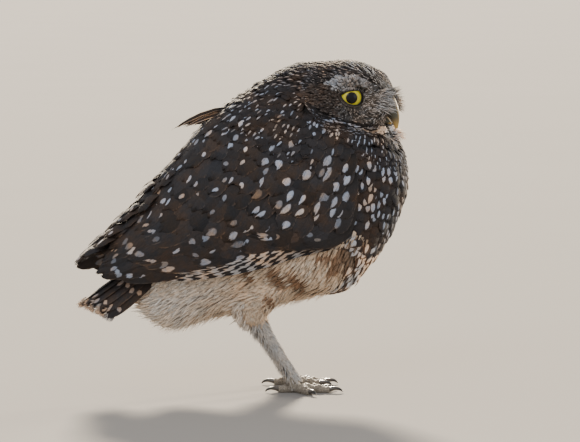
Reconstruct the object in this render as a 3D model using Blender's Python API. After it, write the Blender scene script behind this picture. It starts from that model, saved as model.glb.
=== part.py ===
"""A burrowing owl standing with its wings folded, life size, as one still model.

Metres, +Z up, +X the way the owl's body faces, +Y its left side. The origin is on the floor under
the middle of the whole bird. Every part of the body is a closed solid of its own.
"""

import math
import random

import bmesh
import bpy
import numpy as np

MM = 0.001

# Driving dimensions
GAP = 0.35 * MM
AROUND = 40
SECTION_POWER = 2.25
VANE_THICKNESS = 0.6 * MM
CORE_SINK = 1.45 * MM
ROOT_SINK = 2.2 * MM
SEED = 11

# Each row of a body table is one flat section: back x, back z, belly x, belly z, half width.
# The cloak is the outer form of the bird with its wings folded, the trunk is the body below them.
CLOAK = np.array([
    (50, 196, 82, 168, 14),
    (36, 197, 88, 158, 22),
    (20, 190.5, 92, 151, 27.5),
    (3, 179.5, 96.5, 142, 33),
    (-11, 169.5, 98.5, 127, 38),
    (-24, 158.5, 95, 110, 41),
    (-33.5, 147, 87, 91, 42),
    (-42.5, 135.5, 75, 74, 42),
    (-51.5, 124, 60, 60, 41),
    (-61, 112.5, 38, 52, 38.5),
    (-71, 101.5, 10, 48, 35),
    (-82, 91, -20, 48, 30),
    (-92, 81.5, -50, 50, 24),
    (-99, 74, -76, 52, 17),
    (-104, 68, -94, 54, 11),
]) * MM
TRUNK = np.array([
    (50, 196, 82, 168, 14),
    (36, 197, 88, 158, 22),
    (20, 190.5, 92, 151, 27.5),
    (3, 179.5, 96.5, 142, 33),
    (-10, 168, 98.5, 127, 35.5),
    (-21.5, 156, 95, 110, 36.5),
    (-30.5, 144, 87, 91, 37),
    (-38.5, 132, 75, 74, 36.5),
    (-46, 120, 61, 60.5, 35.5),
    (-53, 108.5, 42, 53.5, 33),
    (-59, 98, 16, 48, 29),
    (-63, 89, -15, 43, 24),
    (-64, 81, -42, 38, 18),
    (-66, 70, -59, 46, 9),
]) * MM
HEAD_BASE = 2.35
NECK_BASE = 3.6
TORSO_END = 11.2
TORSO_RINGS = 14

# Head
HEAD_CENTRE = np.array((60, 0, 172)) * MM
HEAD_YAW = math.radians(-24)
HEAD_FRONT = 31.5 * MM
HEAD_REAR = 30 * MM
HEAD_HALF_WIDTH = 30 * MM
HEAD_UP = 26 * MM
HEAD_DOWN = 24 * MM
HEAD_POWER = 2.4
HEAD_AROUND = 40
DISC_DEPTH = 11.5 * MM
BROW_RISE = 1.2 * MM
LORES_RISE = 3.2 * MM
CHEEK_RISE = 1.0 * MM
CHIN_DEPTH = 3.5 * MM
EYE_RADIUS = 8.5 * MM
EYE_FRONT = np.array((15.6, 18.2, 3.2)) * MM
EYE_TURN = math.radians(45)
LID_HALF_WIDTH = 6.9 * MM
LID_HALF_HEIGHT = 4.9 * MM
LID_TUBE = 1.15 * MM
BILL_LENGTH = 17 * MM
BILL_WIDTH = 9.5 * MM
BILL_ROOT = np.array((29.5, 0, 0)) * MM

# Tail
TAIL_ROOT = np.array((-40, 0, 76)) * MM
TAIL_SLOPE = math.radians(35)
TAIL_HALF_WIDTH = 14 * MM
TAIL_RISE = 13.8 * MM
TAIL_LENGTH = 62 * MM
TAIL_VANES = 12
TAIL_VANE_WIDTH = 8.6 * MM

# Legs
LEG_SPREAD = 15 * MM
HEEL = np.array((8.5, 0, 44)) * MM
ANKLE = np.array((33, 0, 5.5)) * MM
TARSUS_HEEL_WIDTH = 9 * MM
TARSUS_FOOT_WIDTH = 7 * MM
LEFT_FOOT_BACK = 2.5 * MM
TOE_HEIGHT = 5.0 * MM
TOE_WIDTH = 5.4 * MM
CLAW_LENGTH = 8.5 * MM

COLOURS = {
    "plumage": ((0.20, 0.16, 0.13), 0.85),
    "pale_plumage": ((0.62, 0.56, 0.47), 0.9),
    "flight": ((0.16, 0.13, 0.11), 0.7),
    "bill": ((0.55, 0.52, 0.42), 0.45),
    "eye": ((0.85, 0.68, 0.10), 0.1),
    "leg": ((0.60, 0.56, 0.50), 0.85),
    "claw": ((0.10, 0.09, 0.08), 0.4),
}


def clear_scene():
    for thing in list(bpy.data.objects):
        bpy.data.objects.remove(thing, do_unlink=True)


def material(name):
    found = bpy.data.materials.get(name)
    if found:
        return found
    colour, roughness = COLOURS[name]
    made = bpy.data.materials.new(name)
    made.use_nodes = True
    shader = made.node_tree.nodes["Principled BSDF"]
    shader.inputs["Base Color"].default_value = (*colour, 1)
    shader.inputs["Roughness"].default_value = roughness
    shader.inputs["Metallic"].default_value = 0
    return made


def smooth(value):
    value = np.clip(value, 0, 1)
    return value * value * (3 - 2 * value)


# Mesh helpers
def make_object(name, points, faces, finish):
    """A closed mesh object with its faces pointing out."""
    mesh = bpy.data.meshes.new(name)
    mesh.from_pydata([tuple(float(c) for c in point) for point in points], [], faces)
    form = bmesh.new()
    form.from_mesh(mesh)
    bmesh.ops.recalc_face_normals(form, faces=form.faces)
    if form.calc_volume(signed=True) < 0:
        bmesh.ops.reverse_faces(form, faces=form.faces)
    bmesh.ops.triangulate(form, faces=form.faces, quad_method="SHORT_EDGE")
    form.to_mesh(mesh)
    form.free()
    mesh.materials.append(material(finish))
    made = bpy.data.objects.new(name, mesh)
    bpy.context.scene.collection.objects.link(made)
    return made


def tube(rings):
    """Points and faces of a closed form through rings of equal count, with fanned ends."""
    rings = [np.asarray(ring) for ring in rings]
    count = len(rings[0])
    points = [point for ring in rings for point in ring]
    faces = []
    for level in range(len(rings) - 1):
        low = level * count
        for step in range(count):
            after = (step + 1) % count
            faces.append((low + step, low + after, low + count + after, low + count + step))
    for ring, low, turn in ((rings[0], 0, -1), (rings[-1], (len(rings) - 1) * count, 1)):
        centre = len(points)
        points.append(ring.mean(axis=0))
        for step in range(count):
            after = (step + 1) % count
            faces.append((low + step, low + after, centre)[::turn])
    return points, faces


def keep_largest(mesh):
    """Leaves only the closed surface with the greatest volume."""
    form = bmesh.new()
    form.from_mesh(mesh)
    left = set(form.faces)
    groups = []
    while left:
        stack = [left.pop()]
        group = []
        while stack:
            face = stack.pop()
            group.append(face)
            for edge in face.edges:
                for other in edge.link_faces:
                    if other in left:
                        left.discard(other)
                        stack.append(other)
        volume = 0
        for face in group:
            corners = [vertex.co for vertex in face.verts]
            for index in range(1, len(corners) - 1):
                volume += corners[0].dot(corners[index].cross(corners[index + 1])) / 6
        groups.append((abs(volume), group))
    groups.sort(key=lambda entry: entry[0])
    drop = [face for _, group in groups[:-1] for face in group]
    if drop:
        bmesh.ops.delete(form, geom=drop, context="FACES")
        loose = [vertex for vertex in form.verts if not vertex.link_faces]
        bmesh.ops.delete(form, geom=loose, context="VERTS")
    form.to_mesh(mesh)
    form.free()


def combine(body, others, operation, solver):
    """Applies one Boolean of the other closed objects on the body, and removes them."""
    group = bpy.data.collections.new("pieces")
    bpy.context.scene.collection.children.link(group)
    for other in others:
        group.objects.link(other)
        bpy.context.scene.collection.objects.unlink(other)
    boolean = body.modifiers.new("combine", "BOOLEAN")
    boolean.operation = operation
    boolean.solver = solver
    boolean.operand_type = "COLLECTION"
    boolean.collection = group
    bpy.context.view_layer.update()
    graph = bpy.context.evaluated_depsgraph_get()
    result = bpy.data.meshes.new_from_object(body.evaluated_get(graph))
    body.modifiers.clear()
    old = body.data
    body.data = result
    bpy.data.meshes.remove(old)
    for other in others:
        bpy.data.objects.remove(other, do_unlink=True)
    bpy.data.collections.remove(group)
    keep_largest(result)
    return body


# Body sections
def section_row(rows, station):
    """The row at a station along the body, through all rows in one smooth curve."""
    station = np.asarray(station, float)
    last = len(rows) - 1
    index = np.clip(np.floor(station).astype(int), 0, last - 1)
    part = (station - index)[..., None]
    padded = np.vstack([2 * rows[0] - rows[1], rows, 2 * rows[-1] - rows[-2]])
    a = padded[index]
    b = padded[index + 1]
    c = padded[index + 2]
    d = padded[index + 3]
    return 0.5 * (2 * b + (c - a) * part + (2 * a - 5 * b + 4 * c - d) * part**2
                  + (3 * b - a - 3 * c + d) * part**3)


def surface(rows, station, angle, grow=0.0):
    """Points of a body form. The angle runs from the belly at -90 degrees to the back at 90."""
    station, angle, grow = np.broadcast_arrays(
        np.asarray(station, float), np.asarray(angle, float), np.asarray(grow, float))
    row = section_row(rows, station)
    back = row[..., 0:2]
    belly = row[..., 2:4]
    half_height = np.linalg.norm(back - belly, axis=-1) / 2
    upward = (back - belly) / (2 * half_height[..., None])
    middle = (back + belly) / 2
    power = 2 / SECTION_POWER
    rise = np.sign(np.sin(angle)) * np.abs(np.sin(angle)) ** power * (half_height + grow)
    across = np.sign(np.cos(angle)) * np.abs(np.cos(angle)) ** power * (row[..., 4] + grow)
    spot = middle + upward * rise[..., None]
    return np.stack([spot[..., 0], across, spot[..., 1]], axis=-1)


def section_ring(rows, station, grow=0.0):
    angles = np.arange(AROUND) * 2 * math.pi / AROUND - math.pi / 2
    return surface(rows, station, angles, grow)


def section_normal(rows, station):
    """The unit normal of a section's plane, pointing to the head."""
    row = section_row(rows, station)
    along = np.array((row[0] - row[2], 0, row[1] - row[3]))
    normal = np.array((-along[2], 0, along[0]))
    normal /= np.linalg.norm(normal)
    return normal if normal[2] > 0 else -normal


# Torso and neck
def torso_rings(grow=0.0):
    stations = np.linspace(NECK_BASE, TORSO_END, TORSO_RINGS)
    return [section_ring(TRUNK, station, grow) for station in stations]


def make_torso():
    points, faces = tube(torso_rings())
    return make_object("torso", points, faces, "pale_plumage")


def grown_torso():
    """The torso with a thin clearance all round, for cutting what lies against it."""
    rings = torso_rings(GAP)
    rings[0] = rings[0] + section_normal(TRUNK, NECK_BASE) * GAP
    rings[-1] = rings[-1] - section_normal(TRUNK, TORSO_END) * GAP
    points, faces = tube(rings)
    return make_object("grown_torso", points, faces, "pale_plumage")


def make_neck():
    stations = np.linspace(HEAD_BASE, NECK_BASE, 3)
    rings = [section_ring(TRUNK, station) for station in stations]
    rings[0] = rings[0] - section_normal(TRUNK, HEAD_BASE) * GAP
    rings[-1] = rings[-1] + section_normal(TRUNK, NECK_BASE) * GAP
    points, faces = tube(rings)
    return make_object("neck", points, faces, "plumage")


# Head
def head_axes():
    """Unit vectors of the head: the way it faces, its left, and up."""
    face = np.array((math.cos(HEAD_YAW), math.sin(HEAD_YAW), 0))
    left = np.array((-math.sin(HEAD_YAW), math.cos(HEAD_YAW), 0))
    return face, left, np.array((0.0, 0, 1))


def from_head(local):
    """World position of a point given from the head's centre as forward, left, up."""
    face, left, up = head_axes()
    local = np.asarray(local, float)
    return HEAD_CENTRE + local[..., 0:1] * face + local[..., 1:2] * left + local[..., 2:3] * up


def skull_radius(direction):
    """Distance from the head's centre to the feathered head along unit directions."""
    face, left, up = head_axes()
    forward = direction @ face
    side = direction @ left
    rise = direction @ up
    length = np.where(forward > 0, HEAD_FRONT, HEAD_REAR)
    height = np.where(rise > 0, HEAD_UP, HEAD_DOWN)
    level = (np.abs(forward) / length) ** HEAD_POWER + (np.abs(side) / HEAD_HALF_WIDTH) ** HEAD_POWER
    radius = (level ** (2 / HEAD_POWER) + (rise / height) ** 2) ** -0.5
    turn = np.degrees(np.arctan2(side, forward))
    pitch = np.degrees(np.arcsin(np.clip(rise, -1, 1)))

    def bump(turn_at, pitch_at, turn_spread, pitch_spread, height_of_bump, power=1.0):
        offset = ((turn - turn_at) / turn_spread) ** 2 + ((pitch - pitch_at) / pitch_spread) ** 2
        return height_of_bump * np.exp(-(offset ** power))

    for way in (-1, 1):
        radius = radius + bump(way * 50, 6, 25, 20, -DISC_DEPTH, 1.9)
        radius = radius + bump(way * 34, 34, 22, 9, BROW_RISE)
        radius = radius + bump(way * 46, -27, 26, 11, CHEEK_RISE)
    radius = radius + bump(0, 0, 20, 20, LORES_RISE)
    return radius + bump(0, -26, 15, 16, -CHIN_DEPTH)


def head_radius(direction):
    """The same, run smoothly into the section at the head's base, mostly down the nape."""
    base = section_ring(TRUNK, HEAD_BASE) - HEAD_CENTRE
    pole = section_normal(TRUNK, HEAD_BASE)
    ahead = np.array((pole[2], 0, -pole[0]))
    base_radius = np.linalg.norm(base, axis=1)
    base_turn = np.arctan2(base[:, 1], base @ ahead)
    base_fall = np.arcsin((base @ pole) / base_radius)
    order = np.argsort(base_turn)
    turn = np.arctan2(direction[..., 1], direction @ ahead)
    climb = np.arcsin(np.clip(direction @ pole, -1, 1))
    low = np.interp(turn, base_turn[order], base_fall[order], period=2 * math.pi)
    near = np.interp(turn, base_turn[order], base_radius[order], period=2 * math.pi)
    share = (climb - low) / (math.pi / 2 - low)
    reach_up = 0.2 + 0.4 * smooth((0.5 - np.cos(turn)) / 1.2)
    left_of_base = np.clip(1 - share / reach_up, 0, 1) ** 2
    return skull_radius(direction) * (1 - left_of_base) + near * left_of_base


def head_form():
    """The whole head round its centre, in rings about the way it faces, cut flat at its base."""
    face, left, up = head_axes()
    angles = np.radians(np.concatenate([np.arange(4, 78, 4.6), np.linspace(81, 172, 10)]))
    around = np.arange(HEAD_AROUND) * 2 * math.pi / HEAD_AROUND
    rings = []
    for angle in angles:
        direction = (math.cos(angle) * face + math.sin(angle) * (np.cos(around)[:, None] * left
                                                                  + np.sin(around)[:, None] * up))
        rings.append(HEAD_CENTRE + direction * head_radius(direction)[:, None])
    points, faces = tube(rings)
    head = make_object("head", points, faces, "plumage")
    row = section_row(TRUNK, HEAD_BASE)
    form = bmesh.new()
    form.from_mesh(head.data)
    cut = bmesh.ops.bisect_plane(form, geom=form.verts[:] + form.edges[:] + form.faces[:], dist=1e-7,
                                 plane_co=(row[0], 0, row[1]), plane_no=section_normal(TRUNK, HEAD_BASE),
                                 clear_inner=True)
    rim = [edge for edge in cut["geom_cut"] if isinstance(edge, bmesh.types.BMEdge)]
    bmesh.ops.holes_fill(form, edges=rim)
    bmesh.ops.dissolve_degenerate(form, edges=form.edges, dist=2e-5)
    bmesh.ops.triangulate(form, faces=form.faces)
    form.to_mesh(head.data)
    form.free()
    return head


def eye_axes(way):
    """Unit vectors of one eye: the way it looks, and the two across its opening."""
    turn = way * EYE_TURN
    look = from_head((math.cos(turn), math.sin(turn), 0)) - HEAD_CENTRE
    across = from_head((-math.sin(turn), math.cos(turn), 0)) - HEAD_CENTRE
    return look, across, np.array((0.0, 0, 1))


def eye_centre(way):
    look = eye_axes(way)[0]
    front = from_head((EYE_FRONT[0], way * EYE_FRONT[1], EYE_FRONT[2]))
    return front - look * EYE_RADIUS


def ball(name, centre, radius, finish, segments=16, rings=9):
    form = bmesh.new()
    bmesh.ops.create_uvsphere(form, u_segments=segments, v_segments=rings, radius=radius)
    bmesh.ops.translate(form, verts=form.verts, vec=tuple(centre))
    points = [tuple(vertex.co) for vertex in form.verts]
    faces = [[vertex.index for vertex in face.verts] for face in form.faces]
    form.free()
    return make_object(name, points, faces, finish)


def lid_ring(way):
    """The rim of the lids, a tube round the opening of one eye."""
    look, across, up = eye_axes(way)
    centre = eye_centre(way)
    around = 20
    sides = 6
    points = []
    for step in range(around):
        turn = 2 * math.pi * step / around
        side = LID_HALF_WIDTH * math.cos(turn)
        rise = LID_HALF_HEIGHT * math.sin(turn)
        depth = math.sqrt(max(EYE_RADIUS**2 - side**2 - rise**2, 0))
        middle = centre + across * side + up * rise + look * depth
        outward = (middle - centre) / np.linalg.norm(middle - centre)
        flat = across * math.cos(turn) + up * math.sin(turn)
        flat = flat - outward * (flat @ outward)
        flat /= np.linalg.norm(flat)
        for corner in range(sides):
            bend = 2 * math.pi * corner / sides
            points.append(middle + LID_TUBE * (outward * math.cos(bend) + flat * math.sin(bend)))
    faces = []
    for step in range(around):
        for corner in range(sides):
            a = step * sides + corner
            b = step * sides + (corner + 1) % sides
            c = ((step + 1) % around) * sides + (corner + 1) % sides
            d = ((step + 1) % around) * sides + corner
            faces.append((a, b, c, d))
    return make_object("lids", points, faces, "plumage")


def bill_ring(centre, width, height, slope, sides=12, keel=0.0):
    """One section of the bill in the head's own frame, at a slope in its middle plane."""
    ring = []
    for step in range(sides):
        turn = 2 * math.pi * step / sides
        side = width / 2 * math.cos(turn)
        rise = height / 2 * math.sin(turn)
        if rise > 0:
            rise += keel * (1 - abs(math.cos(turn)))
        ring.append((centre[0] + rise * math.cos(slope), side, centre[1] + rise * math.sin(slope)))
    return from_head(np.array(ring))


def bill_rings(grow=0.0):
    """The upper bill from inside the face out to its hooked tip."""
    rings = []
    steps = 8
    for step in range(steps):
        share = step / (steps - 1)
        bend = math.radians(-18 - 72 * share)
        centre = (BILL_ROOT[0] + BILL_LENGTH * (0.02 + 0.36 * math.sin(share * math.pi * 0.5)),
                  BILL_ROOT[2] - BILL_LENGTH * 0.98 * share**1.35)
        width = BILL_WIDTH * (1 - share**1.6) + 1.0 * MM
        height = (9.5 * MM) * (1 - share**1.3) + 1.3 * MM
        rings.append(bill_ring(centre, width + grow, height + grow, bend + math.pi / 2, keel=0.4 * MM))
    return rings


def make_head():
    head = head_form()
    combine(head, [lid_ring(-1), lid_ring(1)], "UNION", "MANIFOLD")
    cutters = [ball("socket", eye_centre(way), EYE_RADIUS + GAP, "eye") for way in (-1, 1)]
    points, faces = tube(bill_rings(2 * GAP))
    cutters.append(make_object("bill_seat", points, faces, "bill"))
    points, faces = tube(lower_bill_rings(2 * GAP))
    cutters.append(make_object("lower_bill_seat", points, faces, "bill"))
    return combine(head, cutters, "DIFFERENCE", "MANIFOLD")


def make_eyes():
    for name, way in (("eye_right", -1), ("eye_left", 1)):
        ball(name, eye_centre(way), EYE_RADIUS, "eye")


def lower_bill_rings(grow=0.0):
    rings = []
    steps = 5
    for step in range(steps):
        share = step / (steps - 1)
        centre = (BILL_ROOT[0] - 2.0 * MM + 4.6 * MM * share, -11.0 * MM - 3.2 * MM * share)
        width = 6.6 * MM * (1 - share**1.5) + 1.4 * MM
        height = 3.6 * MM * (1 - share) + 1.2 * MM
        rings.append(bill_ring(centre, width + grow, height + grow, math.radians(60 - 30 * share)))
    return rings


def make_bill():
    points, faces = tube(bill_rings())
    upper = make_object("bill_upper", points, faces, "bill")
    nostrils = []
    for way in (-1, 1):
        spot = from_head((BILL_ROOT[0] + 5.5 * MM, way * 3.6 * MM, -1.5 * MM))
        nostrils.append(ball("nostril", spot, 1.2 * MM, "bill", 10, 6))
    points, faces = tube(lower_bill_rings(2 * GAP))
    nostrils.append(make_object("gape", points, faces, "bill"))
    combine(upper, nostrils, "DIFFERENCE", "MANIFOLD")
    points, faces = tube(lower_bill_rings())
    make_object("bill_lower", points, faces, "bill")


# Vanes
def vane_mesh(top, bottom):
    """Points and faces of a thin closed vane, split into triangles alike on both faces."""
    rows, columns = top.shape[:2]
    points = list(top.reshape(-1, 3)) + list(bottom.reshape(-1, 3))
    shift = rows * columns
    faces = []
    for row in range(rows - 1):
        for column in range(columns - 1):
            a = row * columns + column
            b = a + 1
            c = b + columns
            d = a + columns
            for triangle in ((a, b, c), (a, c, d)):
                faces.append(triangle)
                faces.append(tuple(shift + corner for corner in reversed(triangle)))
    rim = [column for column in range(columns)]
    rim += [row * columns + columns - 1 for row in range(1, rows)]
    rim += [(rows - 1) * columns + column for column in range(columns - 2, -1, -1)]
    rim += [row * columns for row in range(rows - 2, 0, -1)]
    for index, corner in enumerate(rim):
        after = rim[(index + 1) % len(rim)]
        faces.append((corner, shift + corner, shift + after))
        faces.append((corner, shift + after, after))
    return points, faces


VANE_STATIONS = {
    "short": ((0, 0.55, 0.84, 1.0), (0.6, 1.0, 0.86, 0.3)),
    "long": ((0, 0.4, 0.72, 0.91, 1.0), (0.6, 0.95, 1.0, 0.78, 0.28)),
}


def wing_vane(side, root, tip, width, tilt, kind):
    """One vane on the cloak, from a root to a tip, each given as station and angle."""
    shares, widths = VANE_STATIONS[kind]
    shares = np.array(shares)
    root = np.array(root)
    tip = np.array(tip)
    along = root + (tip - root) * shares[:, None]
    lift = -ROOT_SINK + (ROOT_SINK + 0.1 * MM) * smooth(shares / 0.75)
    station = along[:, 0]
    angle = along[:, 1]
    nudge = 0.01
    centre = surface(CLOAK, station, angle, lift)
    by_station = (surface(CLOAK, station + nudge, angle, lift) - centre) / nudge
    by_angle = (surface(CLOAK, station, angle + nudge, lift) - centre) / nudge
    run = by_station * (tip - root)[0] + by_angle * (tip - root)[1]
    run /= np.linalg.norm(run, axis=1)[:, None]
    normal = np.cross(by_station, by_angle)
    normal /= np.linalg.norm(normal, axis=1)[:, None]
    across = np.cross(normal, run)
    across *= np.sign(np.sum(across * by_angle, axis=1))[:, None]
    top = np.zeros((len(shares), 3, 3))
    bottom = np.zeros((len(shares), 3, 3))
    for row in range(len(shares)):
        frame = np.stack([by_station[row], by_angle[row]], axis=1)
        for column, place in enumerate((-1, 0, 1)):
            shift = across[row] * place * width / 2 * widths[row]
            step = np.linalg.lstsq(frame, shift, rcond=None)[0]
            raise_by = lift[row] - place * tilt
            at = (station[row] + step[0], angle[row] + step[1])
            top[row, column] = surface(CLOAK, *at, raise_by)
            bottom[row, column] = surface(CLOAK, *at, raise_by - VANE_THICKNESS)
    top[..., 1] *= side
    bottom[..., 1] *= side
    points, faces = vane_mesh(top, bottom)
    return make_object("vane", points, faces, "flight")


# Wings
WING_FRONT = 4.75
WING_REAR = 11.6
WING_TOP = math.radians(85)
WING_EDGE_STATIONS = (4.5, 5.5, 6.5, 7.2, 8.0, 9.0, 10.0, 11.0, 12.0, 13.2)
WING_EDGE_ANGLES = (-30, -36, -36, -26, -17, -14, -13, -10, -9, -7)
# Each tier: kind, count, root station, root angles, tip stations, tip angles, width in mm
TIERS = (
    ("long", 6, 10.35, (0, 50), (11.75, 12.4), (-3, 42), 12.0),
    ("long", 8, 8.5, (-6, 72), (10.7, 11.3), (-9, 70), 13.0),
    ("short", 6, 6.9, (-12, 38), (8.8, 9.1), (-14, 38), 13.0),
    ("short", 6, 5.3, (-20, 34), (7.2, 7.4), (-20, 34), 13.0),
    ("short", 4, 6.9, (50, 74), (8.9, 9.3), (48, 73), 11.5),
    ("short", 4, 5.1, (47, 74), (7.3, 7.6), (47, 74), 12.0),
)


def wing_edge(station):
    return np.radians(np.interp(station, WING_EDGE_STATIONS, WING_EDGE_ANGLES))


def wing_depth(station):
    """Thickness of the wing's core below the cloak."""
    return (6.5 - 3.6 * smooth((station - 8.5) / 3.6)) * MM


def wing_core(side):
    """The body of the folded wing, a shell that lies on the trunk."""
    stations = np.linspace(WING_FRONT, WING_REAR, 14)
    columns = 10
    outer = np.zeros((len(stations), columns, 3))
    inner = np.zeros((len(stations), columns, 3))
    for row, station in enumerate(stations):
        angles = np.linspace(wing_edge(station) + math.radians(2), WING_TOP, columns)
        outer[row] = surface(CLOAK, station, angles, -CORE_SINK)
        inner[row] = surface(CLOAK, station, angles, -wing_depth(station))
    outer[..., 1] *= side
    inner[..., 1] *= side
    points, faces = vane_mesh(outer, inner)
    return make_object("core", points, faces, "flight")


def make_wing(name, side, reach):
    draw = random.Random(SEED)
    wing = wing_core(side)
    wing.name = name
    combine(wing, [grown_torso()], "DIFFERENCE", "MANIFOLD")
    vanes = []
    for tier, (kind, count, root_station, root_angles, tip_stations, tip_angles, width) in enumerate(TIERS):
        for index in range(count):
            share = index / (count - 1)
            root = (root_station, math.radians(np.interp(share, (0, 1), root_angles)))
            far = np.interp(share, (0, 0.45, 1), (tip_stations[0], tip_stations[1], tip_stations[0]))
            if tier == 0:
                far += reach
            far += draw.uniform(-0.08, 0.08)
            tip = (far, math.radians(np.interp(share, (0, 1), tip_angles)))
            vanes.append(wing_vane(side, root, tip, width * MM, 0.65 * MM, kind))
    return combine(wing, vanes, "UNION", "MANIFOLD")


# Tail
def tail_frame():
    along = np.array((-math.cos(TAIL_SLOPE), 0, -math.sin(TAIL_SLOPE)))
    up = np.array((-math.sin(TAIL_SLOPE), 0, math.cos(TAIL_SLOPE)))
    return along, up


def tail_arch(place, lift=0.0):
    """Point of the tail's arched section, from -1 at its right edge over 0 at its top to 1."""
    turn = math.radians(90 + 104 * -place)
    up = tail_frame()[1]
    side = (TAIL_HALF_WIDTH + lift) * math.cos(turn)
    rise = (TAIL_RISE + lift) * math.sin(turn)
    return np.array((0, side, 0)) + up * rise


def tail_vane(index):
    along = tail_frame()[0]
    place = (index + 0.5) / TAIL_VANES * 2 - 1
    outward = abs(place)
    way = 1 if place > 0 else -1
    length = TAIL_LENGTH - 12 * MM * outward**1.5
    start = 12 * MM
    shares, widths = VANE_STATIONS["long"]
    top = np.zeros((len(shares), 3, 3))
    bottom = np.zeros((len(shares), 3, 3))
    perimeter = 52 * MM
    for row, share in enumerate(shares):
        ahead = start + (length - start) * share
        for column, edge in enumerate((-1, 0, 1)):
            spread = edge * TAIL_VANE_WIDTH * widths[row] / perimeter * (0.8 + 0.25 * share)
            spot = place * (0.8 + 0.2 * share) + spread
            tilt = edge * way * 0.9 * MM
            top[row, column] = TAIL_ROOT + along * ahead + tail_arch(spot, tilt)
            bottom[row, column] = TAIL_ROOT + along * ahead + tail_arch(spot, tilt - VANE_THICKNESS)
    points, faces = vane_mesh(top, bottom)
    return make_object("vane", points, faces, "flight")


def make_tail():
    stations = np.linspace(TORSO_END, 13, 5)
    rings = [section_ring(TRUNK, station)[::2] for station in stations]
    rings[0] = rings[0] - section_normal(TRUNK, TORSO_END) * GAP
    points, faces = tube(rings)
    tail = make_object("tail", points, faces, "flight")
    vanes = [tail_vane(index) for index in range(TAIL_VANES)]
    return combine(tail, vanes, "UNION", "MANIFOLD")


# Legs
def ellipse_ring(centre, first, second, sides):
    turns = np.arange(sides) * 2 * math.pi / sides
    return centre + np.cos(turns)[:, None] * first + np.sin(turns)[:, None] * second


def leg_shift(side):
    back = -LEFT_FOOT_BACK if side > 0 else 0
    return np.array((back, side * LEG_SPREAD, 0))


def tarsus_rings(side, grow=0.0):
    shift = leg_shift(side)
    heel = HEEL + shift
    ankle = ANKLE + shift
    axis = (ankle - heel) / np.linalg.norm(ankle - heel)
    across = np.array((0.0, 1, 0))
    front = np.cross(across, axis)
    rings = []
    for share in (-0.04, 0.12, 0.35, 0.7, 1.0):
        width = TARSUS_HEEL_WIDTH + (TARSUS_FOOT_WIDTH - TARSUS_HEEL_WIDTH) * min(max(share, 0) / 0.6, 1)
        half = width / 2 + grow
        centre = heel + (ankle - heel) * share
        rings.append(ellipse_ring(centre, front * half, across * half * 0.92, 12))
    return rings


# The drumstick from inside the flank to the heel: middle x and z, half length and half width
THIGH = np.array([
    (17, 70, 15, 11),
    (14, 62, 17, 13),
    (10, 54, 15.5, 12.5),
    (7.5, 47.5, 11.5, 9.5),
    (7, 42.5, 6.5, 6.5),
    (7.2, 40.5, 3.5, 3.5),
]) * MM


def thigh_rings(side):
    shift = leg_shift(side)
    rings = []
    for x, z, half_length, half_width in THIGH:
        centre = shift + np.array((x, 0, z))
        rings.append(ellipse_ring(centre, np.array((half_length, 0, 0)), np.array((0, half_width, 0)), 18))
    return rings


def make_leg(name, side, torso_cutter):
    points, faces = tube(tarsus_rings(side))
    tarsus = make_object("tarsus_" + name, points, faces, "leg")
    points, faces = tube(thigh_rings(side))
    thigh = make_object("thigh_" + name, points, faces, "pale_plumage")
    points, faces = tube(tarsus_rings(side, GAP))
    seat = make_object("seat", points, faces, "leg")
    combine(thigh, [torso_cutter, seat], "DIFFERENCE", "MANIFOLD")
    return tarsus


# Feet: each toe has its length, its turn outward in degrees, and its claw
TOES = (
    ("inner", 16.5, -16),
    ("middle", 19.5, 9),
    ("outer", 15.5, 62),
    ("hind", 11.5, 172),
)


def toe_ring(centre, heading, width, height):
    """A toe's section, flat below."""
    across = np.array((-heading[1], heading[0], 0))
    up = np.array((0, 0, 1))
    ring = []
    for turn in np.radians((-35, 10, 50, 90, 130, 170, 215)):
        ring.append(centre + across * math.cos(turn) * width / 2 + up * (0.5 + 0.5 * math.sin(turn)) * height)
    ring[0] = centre + across * width * 0.36
    ring[-1] = centre - across * width * 0.36
    return np.array(ring)


def make_foot(name, side):
    ankle = ANKLE + leg_shift(side)
    toes = []
    for toe, length, turn_out in TOES:
        heading_turn = math.radians(turn_out) * side
        heading = np.array((math.cos(heading_turn), math.sin(heading_turn), 0))
        rings = []
        for share in (-0.2, 0.1, 0.42, 0.6, 0.88, 1.0):
            pad = 1 + 0.12 * math.cos(share * 6 * math.pi)
            width = TOE_WIDTH * pad * (1 - 0.3 * max(share, 0))
            height = TOE_HEIGHT * pad * (1 - 0.28 * max(share, 0) ** 2)
            if share in (-0.2, 1.0):
                width *= 0.62
                height *= 0.7
            centre = np.array((ankle[0], ankle[1], 0)) + heading * length * MM * share
            rings.append(toe_ring(centre, heading, width, height))
        points, faces = tube(rings)
        toes.append(make_object("toe", points, faces, "leg"))
        make_claw("claw_" + name + "_" + toe, ankle, heading, length * MM)
    knuckle = []
    for height, width in ((0.0, 3.4), (1.2, 4.3), (4.8, 4.2), (6.4, 3.7)):
        centre = np.array((ankle[0] - 0.25 * height * MM, ankle[1], height * MM))
        knuckle.append(ellipse_ring(centre, np.array((width * MM, 0, 0)), np.array((0, width * MM, 0)), 12))
    points, faces = tube(knuckle)
    foot = make_object("foot_" + name, points, faces, "leg")
    combine(foot, toes, "UNION", "MANIFOLD")
    points, faces = tube(tarsus_rings(side, GAP))
    return combine(foot, [make_object("seat", points, faces, "leg")], "DIFFERENCE", "MANIFOLD")


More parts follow.
